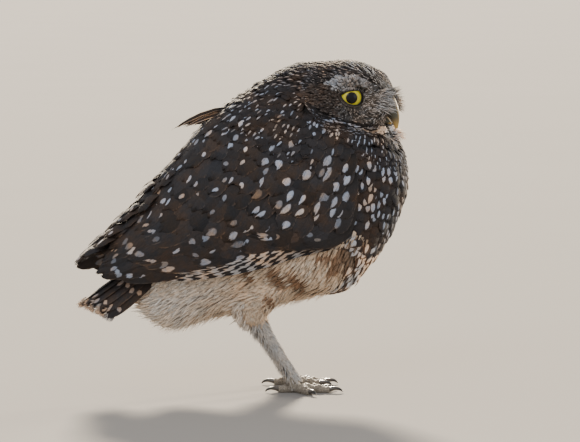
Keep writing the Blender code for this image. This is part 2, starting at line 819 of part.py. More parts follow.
def make_claw(name, ankle, heading, length):
    """A curved claw that starts on the toe's end face and curls down to the floor."""
    across = np.array((-heading[1], heading[0], 0))
    up = np.array((0, 0, 1.0))
    start = np.array((ankle[0], ankle[1], 0)) + heading * (length + GAP)
    rings = []
    steps = 5
    for step in range(steps):
        share = step / (steps - 1)
        ahead = CLAW_LENGTH * 0.92 * math.sin(share * 1.25) / math.sin(1.25)
        rise = (2.05 + 1.0 * math.sin(share * math.pi) - 1.25 * share**1.6) * MM
        half = (1.25 * (1 - share) ** 0.8 + 0.3) * MM
        tilt = 0.35 - 1.5 * share
        first = across * half * 0.8
        second = (up * math.cos(tilt) - heading * math.sin(tilt)) * half
        if step == 0:
            second = up * half
        rings.append(ellipse_ring(start + heading * ahead + up * rise, first, second, 7))
    points, faces = tube(rings)
    return make_object(name, points, faces, "claw")


def shade(part):
    for face in part.data.polygons:
        face.use_smooth = True
    part.data.set_sharp_from_angle(angle=math.radians(40))


def main():
    clear_scene()
    make_torso()
    make_neck()
    make_head()
    make_eyes()
    make_bill()
    make_wing("wing_right", -1, 0.0)
    make_wing("wing_left", 1, 1.5)
    make_tail()
    for name, side in (("right", -1), ("left", 1)):
        make_leg(name, side, grown_torso())
        make_foot(name, side)
    for part in bpy.data.objects:
        shade(part)


main()
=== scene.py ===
"""Looks of the burrowing owl: skin, feathers, eyes, bill, legs and feet, with floor, lights, camera.

Metres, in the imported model's frame: +Z up, +X the way the owl's body faces, +Y its left side. The
body forms repeat the named sizes of the solids. Each feather is a thin closed vane laid on the
body's form. Its markings are worked out in the material from the place along and across the vane.
"""

import math

import bmesh
import bpy
import numpy as np
from mathutils import Matrix, Vector
from mathutils.bvhtree import BVHTree
from mathutils.kdtree import KDTree


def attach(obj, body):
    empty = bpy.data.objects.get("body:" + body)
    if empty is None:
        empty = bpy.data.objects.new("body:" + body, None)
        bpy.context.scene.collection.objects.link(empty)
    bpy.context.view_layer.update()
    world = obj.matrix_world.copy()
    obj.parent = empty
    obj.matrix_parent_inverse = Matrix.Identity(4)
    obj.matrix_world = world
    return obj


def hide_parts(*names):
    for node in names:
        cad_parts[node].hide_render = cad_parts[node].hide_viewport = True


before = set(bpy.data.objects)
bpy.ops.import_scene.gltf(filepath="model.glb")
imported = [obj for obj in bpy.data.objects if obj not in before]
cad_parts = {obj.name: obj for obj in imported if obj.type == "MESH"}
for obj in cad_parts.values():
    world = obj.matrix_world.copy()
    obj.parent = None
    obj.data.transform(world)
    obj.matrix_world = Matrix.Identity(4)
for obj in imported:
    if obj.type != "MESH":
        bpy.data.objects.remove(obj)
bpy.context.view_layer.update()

MM = 0.001
SEED = 11
draw = np.random.default_rng(SEED)

# Body forms, as in the solids: back x, back z, belly x, belly z, half width of each section
SECTION_POWER = 2.25
CLOAK = np.array([
    (50, 196, 82, 168, 14),
    (36, 197, 88, 158, 22),
    (20, 190.5, 92, 151, 27.5),
    (3, 179.5, 96.5, 142, 33),
    (-11, 169.5, 98.5, 127, 38),
    (-24, 158.5, 95, 110, 41),
    (-33.5, 147, 87, 91, 42),
    (-42.5, 135.5, 75, 74, 42),
    (-51.5, 124, 60, 60, 41),
    (-61, 112.5, 38, 52, 38.5),
    (-71, 101.5, 10, 48, 35),
    (-82, 91, -20, 48, 30),
    (-92, 81.5, -50, 50, 24),
    (-99, 74, -76, 52, 17),
    (-104, 68, -94, 54, 11),
]) * MM
TRUNK = np.array([
    (50, 196, 82, 168, 14),
    (36, 197, 88, 158, 22),
    (20, 190.5, 92, 151, 27.5),
    (3, 179.5, 96.5, 142, 33),
    (-10, 168, 98.5, 127, 35.5),
    (-21.5, 156, 95, 110, 36.5),
    (-30.5, 144, 87, 91, 37),
    (-38.5, 132, 75, 74, 36.5),
    (-46, 120, 61, 60.5, 35.5),
    (-53, 108.5, 43.5, 58, 33),
    (-59, 98, 18.5, 52.5, 29),
    (-63, 89, -15, 45.5, 24),
    (-64, 81, -42, 38, 18),
    (-66, 70, -59, 46, 9),
]) * MM
VENT_SHARES = np.array((0.90, 0.74, 0.80))
TRUNK[-len(VENT_SHARES):, 4] *= VENT_SHARES
HEAD_BASE = 2.35

# Head, as in the solids
HEAD_CENTRE = np.array((60, 0, 172)) * MM
HEAD_YAW = math.radians(-24)
HEAD_FRONT = 31.5 * MM
HEAD_REAR = 30 * MM
HEAD_HALF_WIDTH = 30 * MM
HEAD_UP = 26 * MM
HEAD_DOWN = 24 * MM
HEAD_POWER = 2.4
DISC_DEPTH = 10.5 * MM
BROW_RISE = 1.2 * MM
LORES_RISE = 3.2 * MM
CHEEK_RISE = 1.0 * MM
CHIN_DEPTH = 3.5 * MM
EYE_RADIUS = 8.5 * MM
EYE_FRONT = np.array((15.6, 18.2, 3.2)) * MM
EYE_TURN = math.radians(45)
EYE_RAISE = 1.2 * MM
EYE_SETBACK = 0.6 * MM
GAZE_TURN = math.radians(54)
IRIS_RADIUS = 8.2 * MM
PUPIL_RADIUS = 3.3 * MM
CORNEA_RISE = 0.5 * MM
BILL_LENGTH = 15.4 * MM
BILL_WIDTH = 9.5 * MM
BILL_ROOT = np.array((28.7, 0, 0.9)) * MM

# Tail and legs, as in the solids
TAIL_ROOT = np.array((-40, 0, 76)) * MM
TAIL_SLOPE = math.radians(35)
TAIL_HALF_WIDTH = 14 * MM
TAIL_RISE = 13.8 * MM
TAIL_LENGTH = 62 * MM
TAIL_VANES = 12
LEG_SPREAD = 15 * MM
HEEL = np.array((8.5, 0, 44)) * MM
ANKLE = np.array((33, 0, 5.5)) * MM
TARSUS_HEEL_WIDTH = 9 * MM
TARSUS_FOOT_WIDTH = 7 * MM
LEFT_FOOT_BACK = 2.5 * MM
THIGH = np.array([
    (17, 70, 15, 11),
    (14, 62, 17, 13),
    (8, 54, 13.5, 12.5),
    (5.5, 47.5, 9.0, 9.5),
    (6.6, 42.5, 6.5, 6.5),
    (7.2, 40.5, 3.5, 3.5),
]) * MM
TOE_HEIGHT = 5.0 * MM
TOE_WIDTH = 5.4 * MM
CLAW_LENGTH = 8.5 * MM
TOES = (("inner", 16.5, -16), ("middle", 19.5, 9), ("outer", 15.5, 62), ("hind", 11.5, 172))

# Coat
BODY_DEPTH = 3.0 * MM
CROWN_DEPTH = 1.8 * MM
FACE_DEPTH = 0.9 * MM
LEG_DEPTH = 0.4 * MM
FORM_VOXEL = 1.3 * MM
FIELD_STEP = 1.9 * MM
FIELD_REACH = 12 * MM
PATCH = 0.003
FLIGHT_PATCH = 0.03
BRISTLES = 380
TIP_BARBS = 80
CHIN_FEATHERS = 240
THROAT_FEATHERS = 130
THROAT = (0.0895, -0.005, 0.1545)
LID_FEATHERS = 900
THIGH_STRANDS = 420

# Plumage colours
DARK = np.array((0.0215, 0.0180, 0.0170))
BROWN = np.array((0.050, 0.033, 0.023))
PATCH_BROWN = np.array((0.170, 0.088, 0.045))
GREY = np.array((0.100, 0.090, 0.080))
BUFF = np.array((0.420, 0.290, 0.170))
CREAM = np.array((0.680, 0.530, 0.390))
WHITE = np.array((0.640, 0.600, 0.550))
# Pale spots: off-white with a painted cool tint of shade.
SPOT_WITH_SHADE_TINT = np.array((0.385, 0.405, 0.445))


def smooth(value):
    value = np.clip(value, 0, 1)
    return value * value * (3 - 2 * value)


def unit(vectors):
    return vectors / np.maximum(np.linalg.norm(vectors, axis=-1, keepdims=True), 1e-12)


def dot(first, second):
    return np.sum(first * second, axis=-1)


# Body sections
def section_row(rows, station):
    """The row at a station along the body, through all rows in one smooth curve."""
    station = np.asarray(station, float)
    last = len(rows) - 1
    index = np.clip(np.floor(station).astype(int), 0, last - 1)
    part = (station - index)[..., None]
    padded = np.vstack([2 * rows[0] - rows[1], rows, 2 * rows[-1] - rows[-2]])
    a = padded[index]
    b = padded[index + 1]
    c = padded[index + 2]
    d = padded[index + 3]
    return 0.5 * (2 * b + (c - a) * part + (2 * a - 5 * b + 4 * c - d) * part**2
                  + (3 * b - a - 3 * c + d) * part**3)


def surface(rows, station, angle, side=1):
    """Points of a body form. The angle runs from the belly at -90 degrees to the back at 90."""
    station, angle, side = np.broadcast_arrays(
        np.asarray(station, float), np.radians(np.asarray(angle, float)), np.asarray(side, float))
    row = section_row(rows, station)
    back = row[..., 0:2]
    belly = row[..., 2:4]
    half_height = np.linalg.norm(back - belly, axis=-1) / 2
    upward = (back - belly) / (2 * half_height[..., None])
    middle = (back + belly) / 2
    power = 2 / SECTION_POWER
    rise = np.sign(np.sin(angle)) * np.abs(np.sin(angle)) ** power * half_height
    across = np.sign(np.cos(angle)) * np.abs(np.cos(angle)) ** power * row[..., 4] * side
    spot = middle + upward * rise[..., None]
    return np.stack([spot[..., 0], across, spot[..., 1]], axis=-1)


def section_normal(rows, station):
    """The unit normal of a section's plane, pointing to the head."""
    row = section_row(rows, station)
    along = np.array((row[0] - row[2], 0, row[1] - row[3]))
    normal = unit(np.array((-along[2], 0, along[0])))
    return normal if normal[2] > 0 else -normal


# Head form
def head_axes():
    """Unit vectors of the head: the way it faces, its left, and up."""
    face = np.array((math.cos(HEAD_YAW), math.sin(HEAD_YAW), 0))
    left = np.array((-math.sin(HEAD_YAW), math.cos(HEAD_YAW), 0))
    return face, left, np.array((0.0, 0, 1))


def from_head(local):
    """World position of a point given from the head's centre as forward, left, up."""
    face, left, up = head_axes()
    local = np.asarray(local, float)
    return HEAD_CENTRE + local[..., 0:1] * face + local[..., 1:2] * left + local[..., 2:3] * up


def head_angles(direction):
    """Turn from the way the head faces, left positive, and pitch above level, in degrees."""
    face, left, up = head_axes()
    direction = unit(direction)
    turn = np.degrees(np.arctan2(direction @ left, direction @ face))
    return turn, np.degrees(np.arcsin(np.clip(direction @ up, -1, 1)))


def skull_radius(direction):
    """Distance from the head's centre to the feathered head along unit directions."""
    face, left, up = head_axes()
    forward = direction @ face
    side = direction @ left
    rise = direction @ up
    length = np.where(forward > 0, HEAD_FRONT, HEAD_REAR)
    height = np.where(rise > 0, HEAD_UP, HEAD_DOWN)
    level = (np.abs(forward) / length) ** HEAD_POWER + (np.abs(side) / HEAD_HALF_WIDTH) ** HEAD_POWER
    radius = (level ** (2 / HEAD_POWER) + (rise / height) ** 2) ** -0.5
    turn, pitch = head_angles(direction)

    def bump(turn_at, pitch_at, turn_spread, pitch_spread, height_of_bump, power=1.0):
        offset = ((turn - turn_at) / turn_spread) ** 2 + ((pitch - pitch_at) / pitch_spread) ** 2
        return height_of_bump * np.exp(-(offset ** power))

    for way in (-1, 1):
        radius = radius + bump(way * 54, 7, 30, 20.5, -DISC_DEPTH, 2.5)
        radius = radius + bump(way * 34, 34, 22, 9, BROW_RISE)
        radius = radius + bump(way * 46, -27, 26, 11, CHEEK_RISE)
    radius = radius + bump(0, 0, 20, 20, LORES_RISE)
    return radius + bump(0, -26, 15, 16, -CHIN_DEPTH)


def head_radius(direction):
    """The same, run smoothly into the section at the head's base, mostly down the nape."""
    base = surface(TRUNK, HEAD_BASE, np.arange(40) * 9.0 - 90) - HEAD_CENTRE
    pole = section_normal(TRUNK, HEAD_BASE)
    ahead = np.array((pole[2], 0, -pole[0]))
    base_radius = np.linalg.norm(base, axis=1)
    base_turn = np.arctan2(base[:, 1], base @ ahead)
    base_fall = np.arcsin((base @ pole) / base_radius)
    order = np.argsort(base_turn)
    turn = np.arctan2(direction[..., 1], direction @ ahead)
    climb = np.arcsin(np.clip(direction @ pole, -1, 1))
    low = np.interp(turn, base_turn[order], base_fall[order], period=2 * math.pi)
    near = np.interp(turn, base_turn[order], base_radius[order], period=2 * math.pi)
    share = (climb - low) / (math.pi / 2 - low)
    reach_up = 0.2 + 0.4 * smooth((0.5 - np.cos(turn)) / 1.2)
    left_of_base = np.clip(1 - share / reach_up, 0, 1) ** 2
    return skull_radius(direction) * (1 - left_of_base) + near * left_of_base


def eye_centre(way):
    turn = way * EYE_TURN
    socket = from_head((math.cos(turn), math.sin(turn), 0)) - HEAD_CENTRE
    front = (EYE_FRONT[0] - EYE_SETBACK, way * EYE_FRONT[1], EYE_FRONT[2] + EYE_RAISE)
    return from_head(front) - socket * EYE_RADIUS


def eye_axes(way):
    """Unit vectors of one eye: the way it looks, and the two across its opening."""
    turn = way * GAZE_TURN
    look = from_head((math.cos(turn), math.sin(turn), 0)) - HEAD_CENTRE
    rearward = way * (from_head((-math.sin(turn), math.cos(turn), 0)) - HEAD_CENTRE)
    return look, rearward, np.array((0.0, 0, 1))


def eye_front(way):
    return eye_centre(way) + eye_axes(way)[0] * EYE_RADIUS


# Leg forms
def leg_shift(side):
    back = -LEFT_FOOT_BACK if side > 0 else 0
    return np.array((back, side * LEG_SPREAD, 0))


def ellipse_ring(centre, first, second, sides):
    turns = np.arange(sides) * 2 * math.pi / sides
    return centre + np.cos(turns)[:, None] * first + np.sin(turns)[:, None] * second


def tarsus_axes(side):
    heel = HEEL + leg_shift(side)
    ankle = ANKLE + leg_shift(side)
    axis = unit(ankle - heel)
    across = np.array((0.0, 1, 0))
    return heel, ankle, axis, np.cross(across, axis), across


def tarsus_rings(side):
    heel, ankle, axis, front, across = tarsus_axes(side)
    rings = []
    for share in np.linspace(-0.04, 1.0, 14):
        width = TARSUS_HEEL_WIDTH + (TARSUS_FOOT_WIDTH - TARSUS_HEEL_WIDTH) * min(max(share, 0) / 0.6, 1)
        centre = heel + (ankle - heel) * share
        rings.append(ellipse_ring(centre, front * width / 2, across * width * 0.46, 20))
    return rings


def thigh_rings(side):
    rings = []
    for x, z, half_length, half_width in THIGH:
        centre = leg_shift(side) + np.array((x, 0, z))
        rings.append(ellipse_ring(centre, np.array((half_length, 0, 0)), np.array((0, half_width, 0)), 28))
    return rings


# Meshes
def grid_mesh(rings):
    """Points and faces of a closed form through rings of equal count, with fanned ends."""
    rings = np.array(rings)
    levels, count = rings.shape[:2]
    points = np.vstack([rings.reshape(-1, 3), rings[0].mean(axis=0), rings[-1].mean(axis=0)])
    faces = []
    for level in range(levels - 1):
        low = level * count
        for step in range(count):
            after = (step + 1) % count
            faces.append((low + step, low + after, low + count + after, low + count + step))
    for step in range(count):
        after = (step + 1) % count
        faces.append((after, step, levels * count))
        faces.append(((levels - 1) * count + step, (levels - 1) * count + after, levels * count + 1))
    return points, faces


def add_object(name, points, faces, material=None):
    """A smooth mesh object with its faces pointing out."""
    mesh = bpy.data.meshes.new(name)
    mesh.from_pydata(np.asarray(points).tolist(), [], faces)
    form = bmesh.new()
    form.from_mesh(mesh)
    bmesh.ops.recalc_face_normals(form, faces=form.faces)
    if form.calc_volume(signed=True) < 0:
        bmesh.ops.reverse_faces(form, faces=form.faces)
    form.to_mesh(mesh)
    form.free()
    mesh.shade_smooth()
    if material:
        mesh.materials.append(material)
    made = bpy.data.objects.new(name, mesh)
    bpy.context.scene.collection.objects.link(made)
    return made


def mesh_points(mesh):
    flat = np.zeros(len(mesh.vertices) * 3)
    mesh.vertices.foreach_get("co", flat)
    return flat.reshape(-1, 3)


def set_vectors(mesh, name, values):
    layer = mesh.attributes.new(name, "FLOAT_VECTOR", "POINT")
    layer.data.foreach_set("vector", np.ascontiguousarray(values, float).ravel())


def set_colours(mesh, name, values):
    layer = mesh.attributes.new(name, "FLOAT_COLOR", "POINT")
    full = np.hstack([values, np.ones((len(values), 1))])
    layer.data.foreach_set("color", full.ravel())


def join_objects(objects, name):
    """One object from several, with their materials and attributes kept."""
    with bpy.context.temp_override(active_object=objects[0], selected_editable_objects=objects):
        bpy.ops.object.join()
    objects[0].name = name
    objects[0].data.name = name
    return objects[0]


def bare_form(parts, voxel, name):
    """One smooth closed mesh round several closed forms."""
    points = []
    faces = []
    for part_points, part_faces in parts:
        shift = len(points)
        points.extend(np.asarray(part_points).tolist())
        faces.extend([tuple(shift + corner for corner in face) for face in part_faces])
    made = add_object(name, points, faces)
    remesh = made.modifiers.new("remesh", "REMESH")
    remesh.mode = "VOXEL"
    remesh.voxel_size = voxel
    relax = made.modifiers.new("relax", "SMOOTH")
    relax.factor = 0.5
    relax.iterations = 4
    graph = bpy.context.evaluated_depsgraph_get()
    mesh = bpy.data.meshes.new_from_object(made.evaluated_get(graph))
    bpy.data.objects.remove(made, do_unlink=True)
    mesh.name = name
    return mesh


def loft_part(rows, first, last, count, around=72):
    stations = np.linspace(first, last, count)
    angles = np.arange(around) * 360.0 / around - 90
    return grid_mesh([surface(rows, station, angles) for station in stations])


def outward(part):
    """The same closed part with its faces turned out, for a sound remesh."""
    made = add_object("part", *part)
    points = mesh_points(made.data)
    faces = [tuple(face.vertices) for face in made.data.polygons]
    bpy.data.objects.remove(made, do_unlink=True)
    return points, faces


def head_part():
    face, left, up = head_axes()
    around = np.arange(96) * 2 * math.pi / 96
    rings = []
    for angle in np.radians(np.linspace(1.5, 178, 84)):
        direction = (math.cos(angle) * face + math.sin(angle) * (np.cos(around)[:, None] * left
                                                                  + np.sin(around)[:, None] * up))
        rings.append(HEAD_CENTRE + direction * head_radius(direction)[:, None])
    return grid_mesh(rings)


class Field:
    """Signed distance to a closed mesh on a grid, with its slope, read between grid points."""

    def __init__(self, mesh):
        points = mesh_points(mesh)
        self.low = points.min(axis=0) - FIELD_REACH
        counts = np.ceil((points.max(axis=0) + FIELD_REACH - self.low) / FIELD_STEP).astype(int) + 1
        tree = BVHTree.FromPolygons(points.tolist(), [tuple(face.vertices) for face in mesh.polygons])
        distance = np.full(counts, FIELD_REACH)
        spots = [[float(self.low[axis] + FIELD_STEP * step) for step in range(counts[axis])]
                 for axis in range(3)]
        for i, x in enumerate(spots[0]):
            for j, y in enumerate(spots[1]):
                for k, z in enumerate(spots[2]):
                    near, normal, _, far = tree.find_nearest((x, y, z), FIELD_REACH)
                    if near is not None:
                        outside = (x - near[0]) * normal[0] + (y - near[1]) * normal[1] \
                            + (z - near[2]) * normal[2]
                        distance[i, j, k] = far if outside > 0 else -far
        slope = np.stack(np.gradient(distance, FIELD_STEP), axis=-1)
        self.grid = np.concatenate([distance[..., None], slope], axis=-1)

    def read(self, points):
        """Distance and unit slope at points."""
        at = (points - self.low) / FIELD_STEP
        cell = np.clip(np.floor(at).astype(int), 0, np.array(self.grid.shape[:3]) - 2)
        part = np.clip(at - cell, 0, 1)
        total = np.zeros(points.shape[:-1] + (4,))
        for i in (0, 1):
            for j in (0, 1):
                for k in (0, 1):
                    weight = (part[..., 0] if i else 1 - part[..., 0]) \
                        * (part[..., 1] if j else 1 - part[..., 1]) \
                        * (part[..., 2] if k else 1 - part[..., 2])
                    total += self.grid[cell[..., 0] + i, cell[..., 1] + j, cell[..., 2] + k] \
                        * weight[..., None]
        return total[..., 0], unit(total[..., 1:4])

    def settle(self, points, height=0.0):
        """The points moved along the slope to a height above the form."""
        for _ in range(3):
            distance, slope = self.read(points)
            points = points + slope * (height - distance)[..., None]
        return points


# Materials
class Nodes:
    """Short calls for making a material's nodes."""

    def __init__(self, name):
        self.material = bpy.data.materials.new(name)
        self.material.use_nodes = True
        self.tree = self.material.node_tree
        self.shader = self.tree.nodes["Principled BSDF"]

    def put(self, socket, value):
        if isinstance(value, bpy.types.NodeSocket):
            self.tree.links.new(value, socket)
        elif value is not None:
            socket.default_value = value

    def node(self, kind, inputs=(), **settings):
        made = self.tree.nodes.new(kind)
        for key, value in settings.items():
            setattr(made, key, value)
        for key, value in dict(inputs).items():
            self.put(made.inputs[key], value)
        return made

    def math(self, operation, first, second=None, third=None, clamp=False):
        made = self.node("ShaderNodeMath", operation=operation, use_clamp=clamp)
        for index, value in enumerate((first, second, third)):
            self.put(made.inputs[index], value)
        return made.outputs[0]

    def ramp(self, value, low, high, start=0.0, end=1.0):
        """The value taken smoothly from one range to another."""
        made = self.node("ShaderNodeMapRange", interpolation_type="SMOOTHSTEP")
        for index, item in enumerate((value, low, high, start, end)):
            self.put(made.inputs[index], item)
        return made.outputs[0]

    def mix(self, share, first, second, blend="MIX"):
        made = self.node("ShaderNodeMix", data_type="RGBA", blend_type=blend)
        for index, item in ((0, share), (6, first), (7, second)):
            self.put(made.inputs[index], item)
        return made.outputs[2]

    def attribute(self, name, output="Vector"):
        return self.node("ShaderNodeAttribute", attribute_name=name).outputs[output]

    def split(self, vector):
        return self.node("ShaderNodeSeparateXYZ", {0: vector}).outputs

    def vector(self, x, y, z):
        return self.node("ShaderNodeCombineXYZ", {0: x, 1: y, 2: z}).outputs[0]

    def noise(self, vector, scale, detail=2.0, roughness=0.5):
        return self.node("ShaderNodeTexNoise", {"Vector": vector, "Scale": scale, "Detail": detail,
                                                "Roughness": roughness}).outputs[0]

    def object_place(self):
        return self.node("ShaderNodeTexCoord").outputs["Object"]

    def bump(self, height, strength, distance, normal=None):
        made = self.node("ShaderNodeBump", {"Height": height, "Strength": strength,
                                            "Distance": distance, "Normal": normal})
        return made.outputs[0]

    def finish(self, colour=None, roughness=None, normal=None, **fixed):
        self.put(self.shader.inputs["Base Color"], colour)
        self.put(self.shader.inputs["Roughness"], roughness)
        self.put(self.shader.inputs["Normal"], normal)
        for key, value in fixed.items():
            self.shader.inputs[key.replace("_", " ")].default_value = value
        return self.material


def plumage(name, barbs, roughness=0.72, shaft=0.5, wear=0.5, clouding=1.0, root=0.45):
    """Feather: base colour, marks by place on the vane, barbs slanting off a shaft, soft mottling, and painted
    shade that darkens each vane toward its root.
    """
    made = Nodes(name)
    across, along, chance = made.split(made.attribute("lie"))[0:3]
    centre, offset, web = made.split(made.attribute("mark_place"))[0:3]
    wide, tall, period = made.split(made.attribute("mark_size"))[0:3]
    base = made.attribute("base", "Color")
    mark = made.attribute("mark", "Color")
    span = made.math("ABSOLUTE", across)
    lean = made.math("MULTIPLY_ADD", span, -0.22, along)
    own = made.vector(made.math("MULTIPLY", across, 1.6), made.math("MULTIPLY", lean, 9.0),
                      made.math("MULTIPLY", chance, 97.0))
    ragged = made.math("SUBTRACT", made.noise(own, 3.0, 3.0), 0.5)
    signed = made.math("MULTIPLY", across, web)
    one_web = made.math("ABSOLUTE", web)
    barred = made.math("GREATER_THAN", wide, 1.0)
    uneven = made.math("MULTIPLY", ragged, made.math("MULTIPLY_ADD", barred, -0.85, 1.0))
    chosen = made.math("ADD", made.math("MULTIPLY", signed, one_web),
                       made.math("MULTIPLY", span, made.math("SUBTRACT", 1.0, one_web)))
    sideways = made.math("ABSOLUTE", made.math("SUBTRACT", chosen, offset))
    slanted = made.math("MULTIPLY_ADD", made.math("MULTIPLY", signed, barred), 0.035, along)
    ahead = made.math("SUBTRACT", made.math("MULTIPLY_ADD", uneven, 0.05, slanted), centre)
    turns = made.math("ROUND", made.math("DIVIDE", ahead, period))
    ahead = made.math("SUBTRACT", ahead, made.math("MULTIPLY", turns, period))
    first = made.math("POWER", made.math("DIVIDE", sideways, wide), 1.5)
    second = made.math("POWER", made.math("ABSOLUTE", made.math("DIVIDE", ahead, tall)), 2.0)
    distance = made.math("ADD", made.math("SQRT", made.math("ADD", first, second)),
                         made.math("MULTIPLY", uneven, 0.5))
    spot = made.ramp(distance, 1.12, 0.84)
    ray = made.math("MULTIPLY", lean, barbs)
    barb = made.math("SINE", made.math("ADD", ray, made.math("MULTIPLY", ragged, 5.0)))
    colour = made.mix(spot, base, mark)
    quill = made.math("MULTIPLY", made.ramp(span, 0.07, 0.02), shaft)
    colour = made.mix(made.math("MULTIPLY", quill, 0.5), colour, (0.016, 0.012, 0.010, 1))
    worn = made.math("MULTIPLY", made.ramp(span, 0.80, 1.0), made.ramp(ragged, -0.12, 0.10))
    colour = made.mix(made.math("MULTIPLY", worn, wear), colour, (0.13, 0.095, 0.068, 1))
    cloud = made.noise(made.object_place(), 70.0, 4.0, 0.65)
    warmth = made.mix(made.ramp(cloud, 0.40, 0.64), (0.80, 0.88, 1.04, 1), (1.42, 1.10, 0.86, 1))
    colour = made.mix(clouding, colour, warmth, "MULTIPLY")
    threads = made.noise(made.vector(made.math("MULTIPLY", across, 1.1), made.math("MULTIPLY", lean, 46.0),
                                     made.math("MULTIPLY", chance, 97.0)), 2.0, 2.0)
    shade = made.math("MULTIPLY_ADD", barb, 0.10, made.math("MULTIPLY_ADD", threads, 0.9, 0.55))
    shade = made.math("MULTIPLY", shade, made.math("MULTIPLY_ADD", ragged, 0.95, 1.0))
    # Painted shade: each vane darkens toward its root, down to the share root, as if shaded by the vanes over it.
    shade = made.math("MULTIPLY", shade, made.ramp(along, 0.05, 0.6, root, 1.0))
    tint = made.vector(shade, shade, shade)
    colour = made.mix(1.0, colour, tint, "MULTIPLY")
    height = made.math("ADD", made.math("MULTIPLY", barb, 0.5), quill)
    normal = made.bump(height, 0.45, 0.00012)
    return made.finish(colour, roughness, normal, Sheen_Weight=0.03, Sheen_Roughness=0.5,
                       Specular_IOR_Level=0.2)


def skin_material():
    """Down over skin: the coat's own colours, softly mottled, with fine bumps."""
    made = Nodes("skin_down")
    place = made.object_place()
    colour = made.attribute("base", "Color")
    mottle = made.noise(place, 420.0, 4.0, 0.6)
    strands = made.noise(place, 1900.0, 2.0)
    shade = made.math("MULTIPLY_ADD", mottle, 0.9, 0.35)
    colour = made.mix(1.0, colour, made.vector(shade, shade, shade), "MULTIPLY")
    normal = made.bump(strands, 0.6, 0.0004)
    return made.finish(colour, 0.85, normal)


def lid_material():
    made = Nodes("lid_skin")
    place = made.object_place()
    fine = made.noise(place, 2600.0, 3.0)
    colour = made.mix(fine, (0.004, 0.004, 0.005, 1), (0.016, 0.014, 0.014, 1))
    normal = made.bump(fine, 0.5, 0.00025)
    return made.finish(colour, 0.55, normal, Specular_IOR_Level=0.3)


def eye_material():
    """Black pupil, yellow iris with fine rays and a dark rim, under a wet clear coat."""
    made = Nodes("eye_glass")
    radius, ray_x, ray_y = made.split(made.attribute("gaze"))[0:3]
    rays = made.noise(made.vector(made.math("MULTIPLY", ray_x, 9.0), made.math("MULTIPLY", ray_y, 9.0),
                                  made.math("MULTIPLY", radius, 1.2)), 2.4, 4.0, 0.65)
    cloud = made.noise(made.vector(ray_x, ray_y, radius), 3.0, 2.0)
    iris = made.mix(rays, (0.52, 0.40, 0.012, 1), (0.80, 0.74, 0.055, 1))
    iris = made.mix(made.math("MULTIPLY", cloud, 0.5), iris, (0.60, 0.60, 0.05, 1))
    pupil = PUPIL_RADIUS / IRIS_RADIUS
    inner = made.ramp(radius, pupil + 0.10, pupil)
    iris = made.mix(made.math("MULTIPLY", inner, 0.55), iris, (0.30, 0.19, 0.01, 1))
    iris = made.mix(made.ramp(radius, 0.94, 1.02), iris, (0.02, 0.016, 0.012, 1))
    colour = made.mix(made.ramp(radius, pupil + 0.012, pupil - 0.012), iris, (0.003, 0.003, 0.004, 1))
    normal = made.bump(rays, 0.12, 0.0001)
    return made.finish(colour, 0.4, normal, Specular_IOR_Level=0.05, Coat_Weight=0.75,
                       Coat_Roughness=0.02, Coat_IOR=1.33)


def bill_material():
    """Horn: dull olive grey at the base, yellower along the ridge and at the tip, faint growth lines."""
    made = Nodes("bill_horn")
    ridge, along, chance = made.split(made.attribute("lie"))[0:3]
    place = made.object_place()
    cloud = made.noise(place, 330.0, 4.0)
    lines = made.noise(made.vector(made.math("MULTIPLY", ridge, 2.0), made.math("MULTIPLY", along, 30.0),
                                   chance), 2.0, 2.0)
    horn = made.mix(cloud, (0.022, 0.024, 0.020, 1), (0.070, 0.070, 0.050, 1))
    yellow = made.math("MAXIMUM", made.ramp(along, 0.62, 1.0), made.ramp(ridge, 0.80, 1.0, 0.0, 0.45))
    colour = made.mix(made.math("MULTIPLY", yellow, 0.85), horn, (0.55, 0.34, 0.08, 1))
    colour = made.mix(made.math("MULTIPLY", lines, 0.15), colour, (0.25, 0.22, 0.15, 1))
    normal = made.bump(made.math("ADD", lines, made.math("MULTIPLY", cloud, 0.5)), 0.18, 0.0002)
    return made.finish(colour, made.math("MULTIPLY_ADD", cloud, 0.2, 0.34), normal,
                       Specular_IOR_Level=0.35, Coat_Weight=0.08, Coat_Roughness=0.3)


def scale_material():
    """Foot skin: small scales on the sides, broad scutes along the top, darker creases between the scales."""
    made = Nodes("foot_scales")
    turn, along, chance = made.split(made.attribute("lie"))[0:3]
    place = made.object_place()
    cells = made.node("ShaderNodeTexVoronoi", {"Vector": place, "Scale": 1250.0},
                      feature="DISTANCE_TO_EDGE").outputs[0]
    crease = made.ramp(cells, 0.0, 0.16)
    cloud = made.noise(place, 300.0, 4.0)
    colour = made.mix(cloud, (0.20, 0.165, 0.125, 1), (0.42, 0.365, 0.29, 1))
    colour = made.mix(made.math("SUBTRACT", 1.0, crease), colour, (0.10, 0.078, 0.058, 1))
    normal = made.bump(crease, 0.6, 0.00025)
    return made.finish(colour, 0.62, normal)


def claw_material():
    made = Nodes("claw_horn")
    turn, along, chance = made.split(made.attribute("lie"))[0:3]
    place = made.object_place()
    cloud = made.noise(place, 700.0, 3.0)
    root = made.mix(cloud, (0.060, 0.050, 0.042, 1), (0.11, 0.09, 0.075, 1))
    colour = made.mix(made.ramp(along, 0.1, 0.75), root, (0.012, 0.010, 0.009, 1))
    normal = made.bump(cloud, 0.15, 0.0002)
    return made.finish(colour, made.math("MULTIPLY_ADD", cloud, 0.15, 0.22), normal,
                       Coat_Weight=0.2, Coat_Roughness=0.2)


def floor_material():
    made = Nodes("studio_floor")
    cloud = made.noise(made.object_place(), 3.0, 3.0)
    colour = made.mix(cloud, (0.220, 0.209, 0.198, 1), (0.236, 0.224, 0.213, 1))
    return made.finish(colour, 1.0, Specular_IOR_Level=0.1)


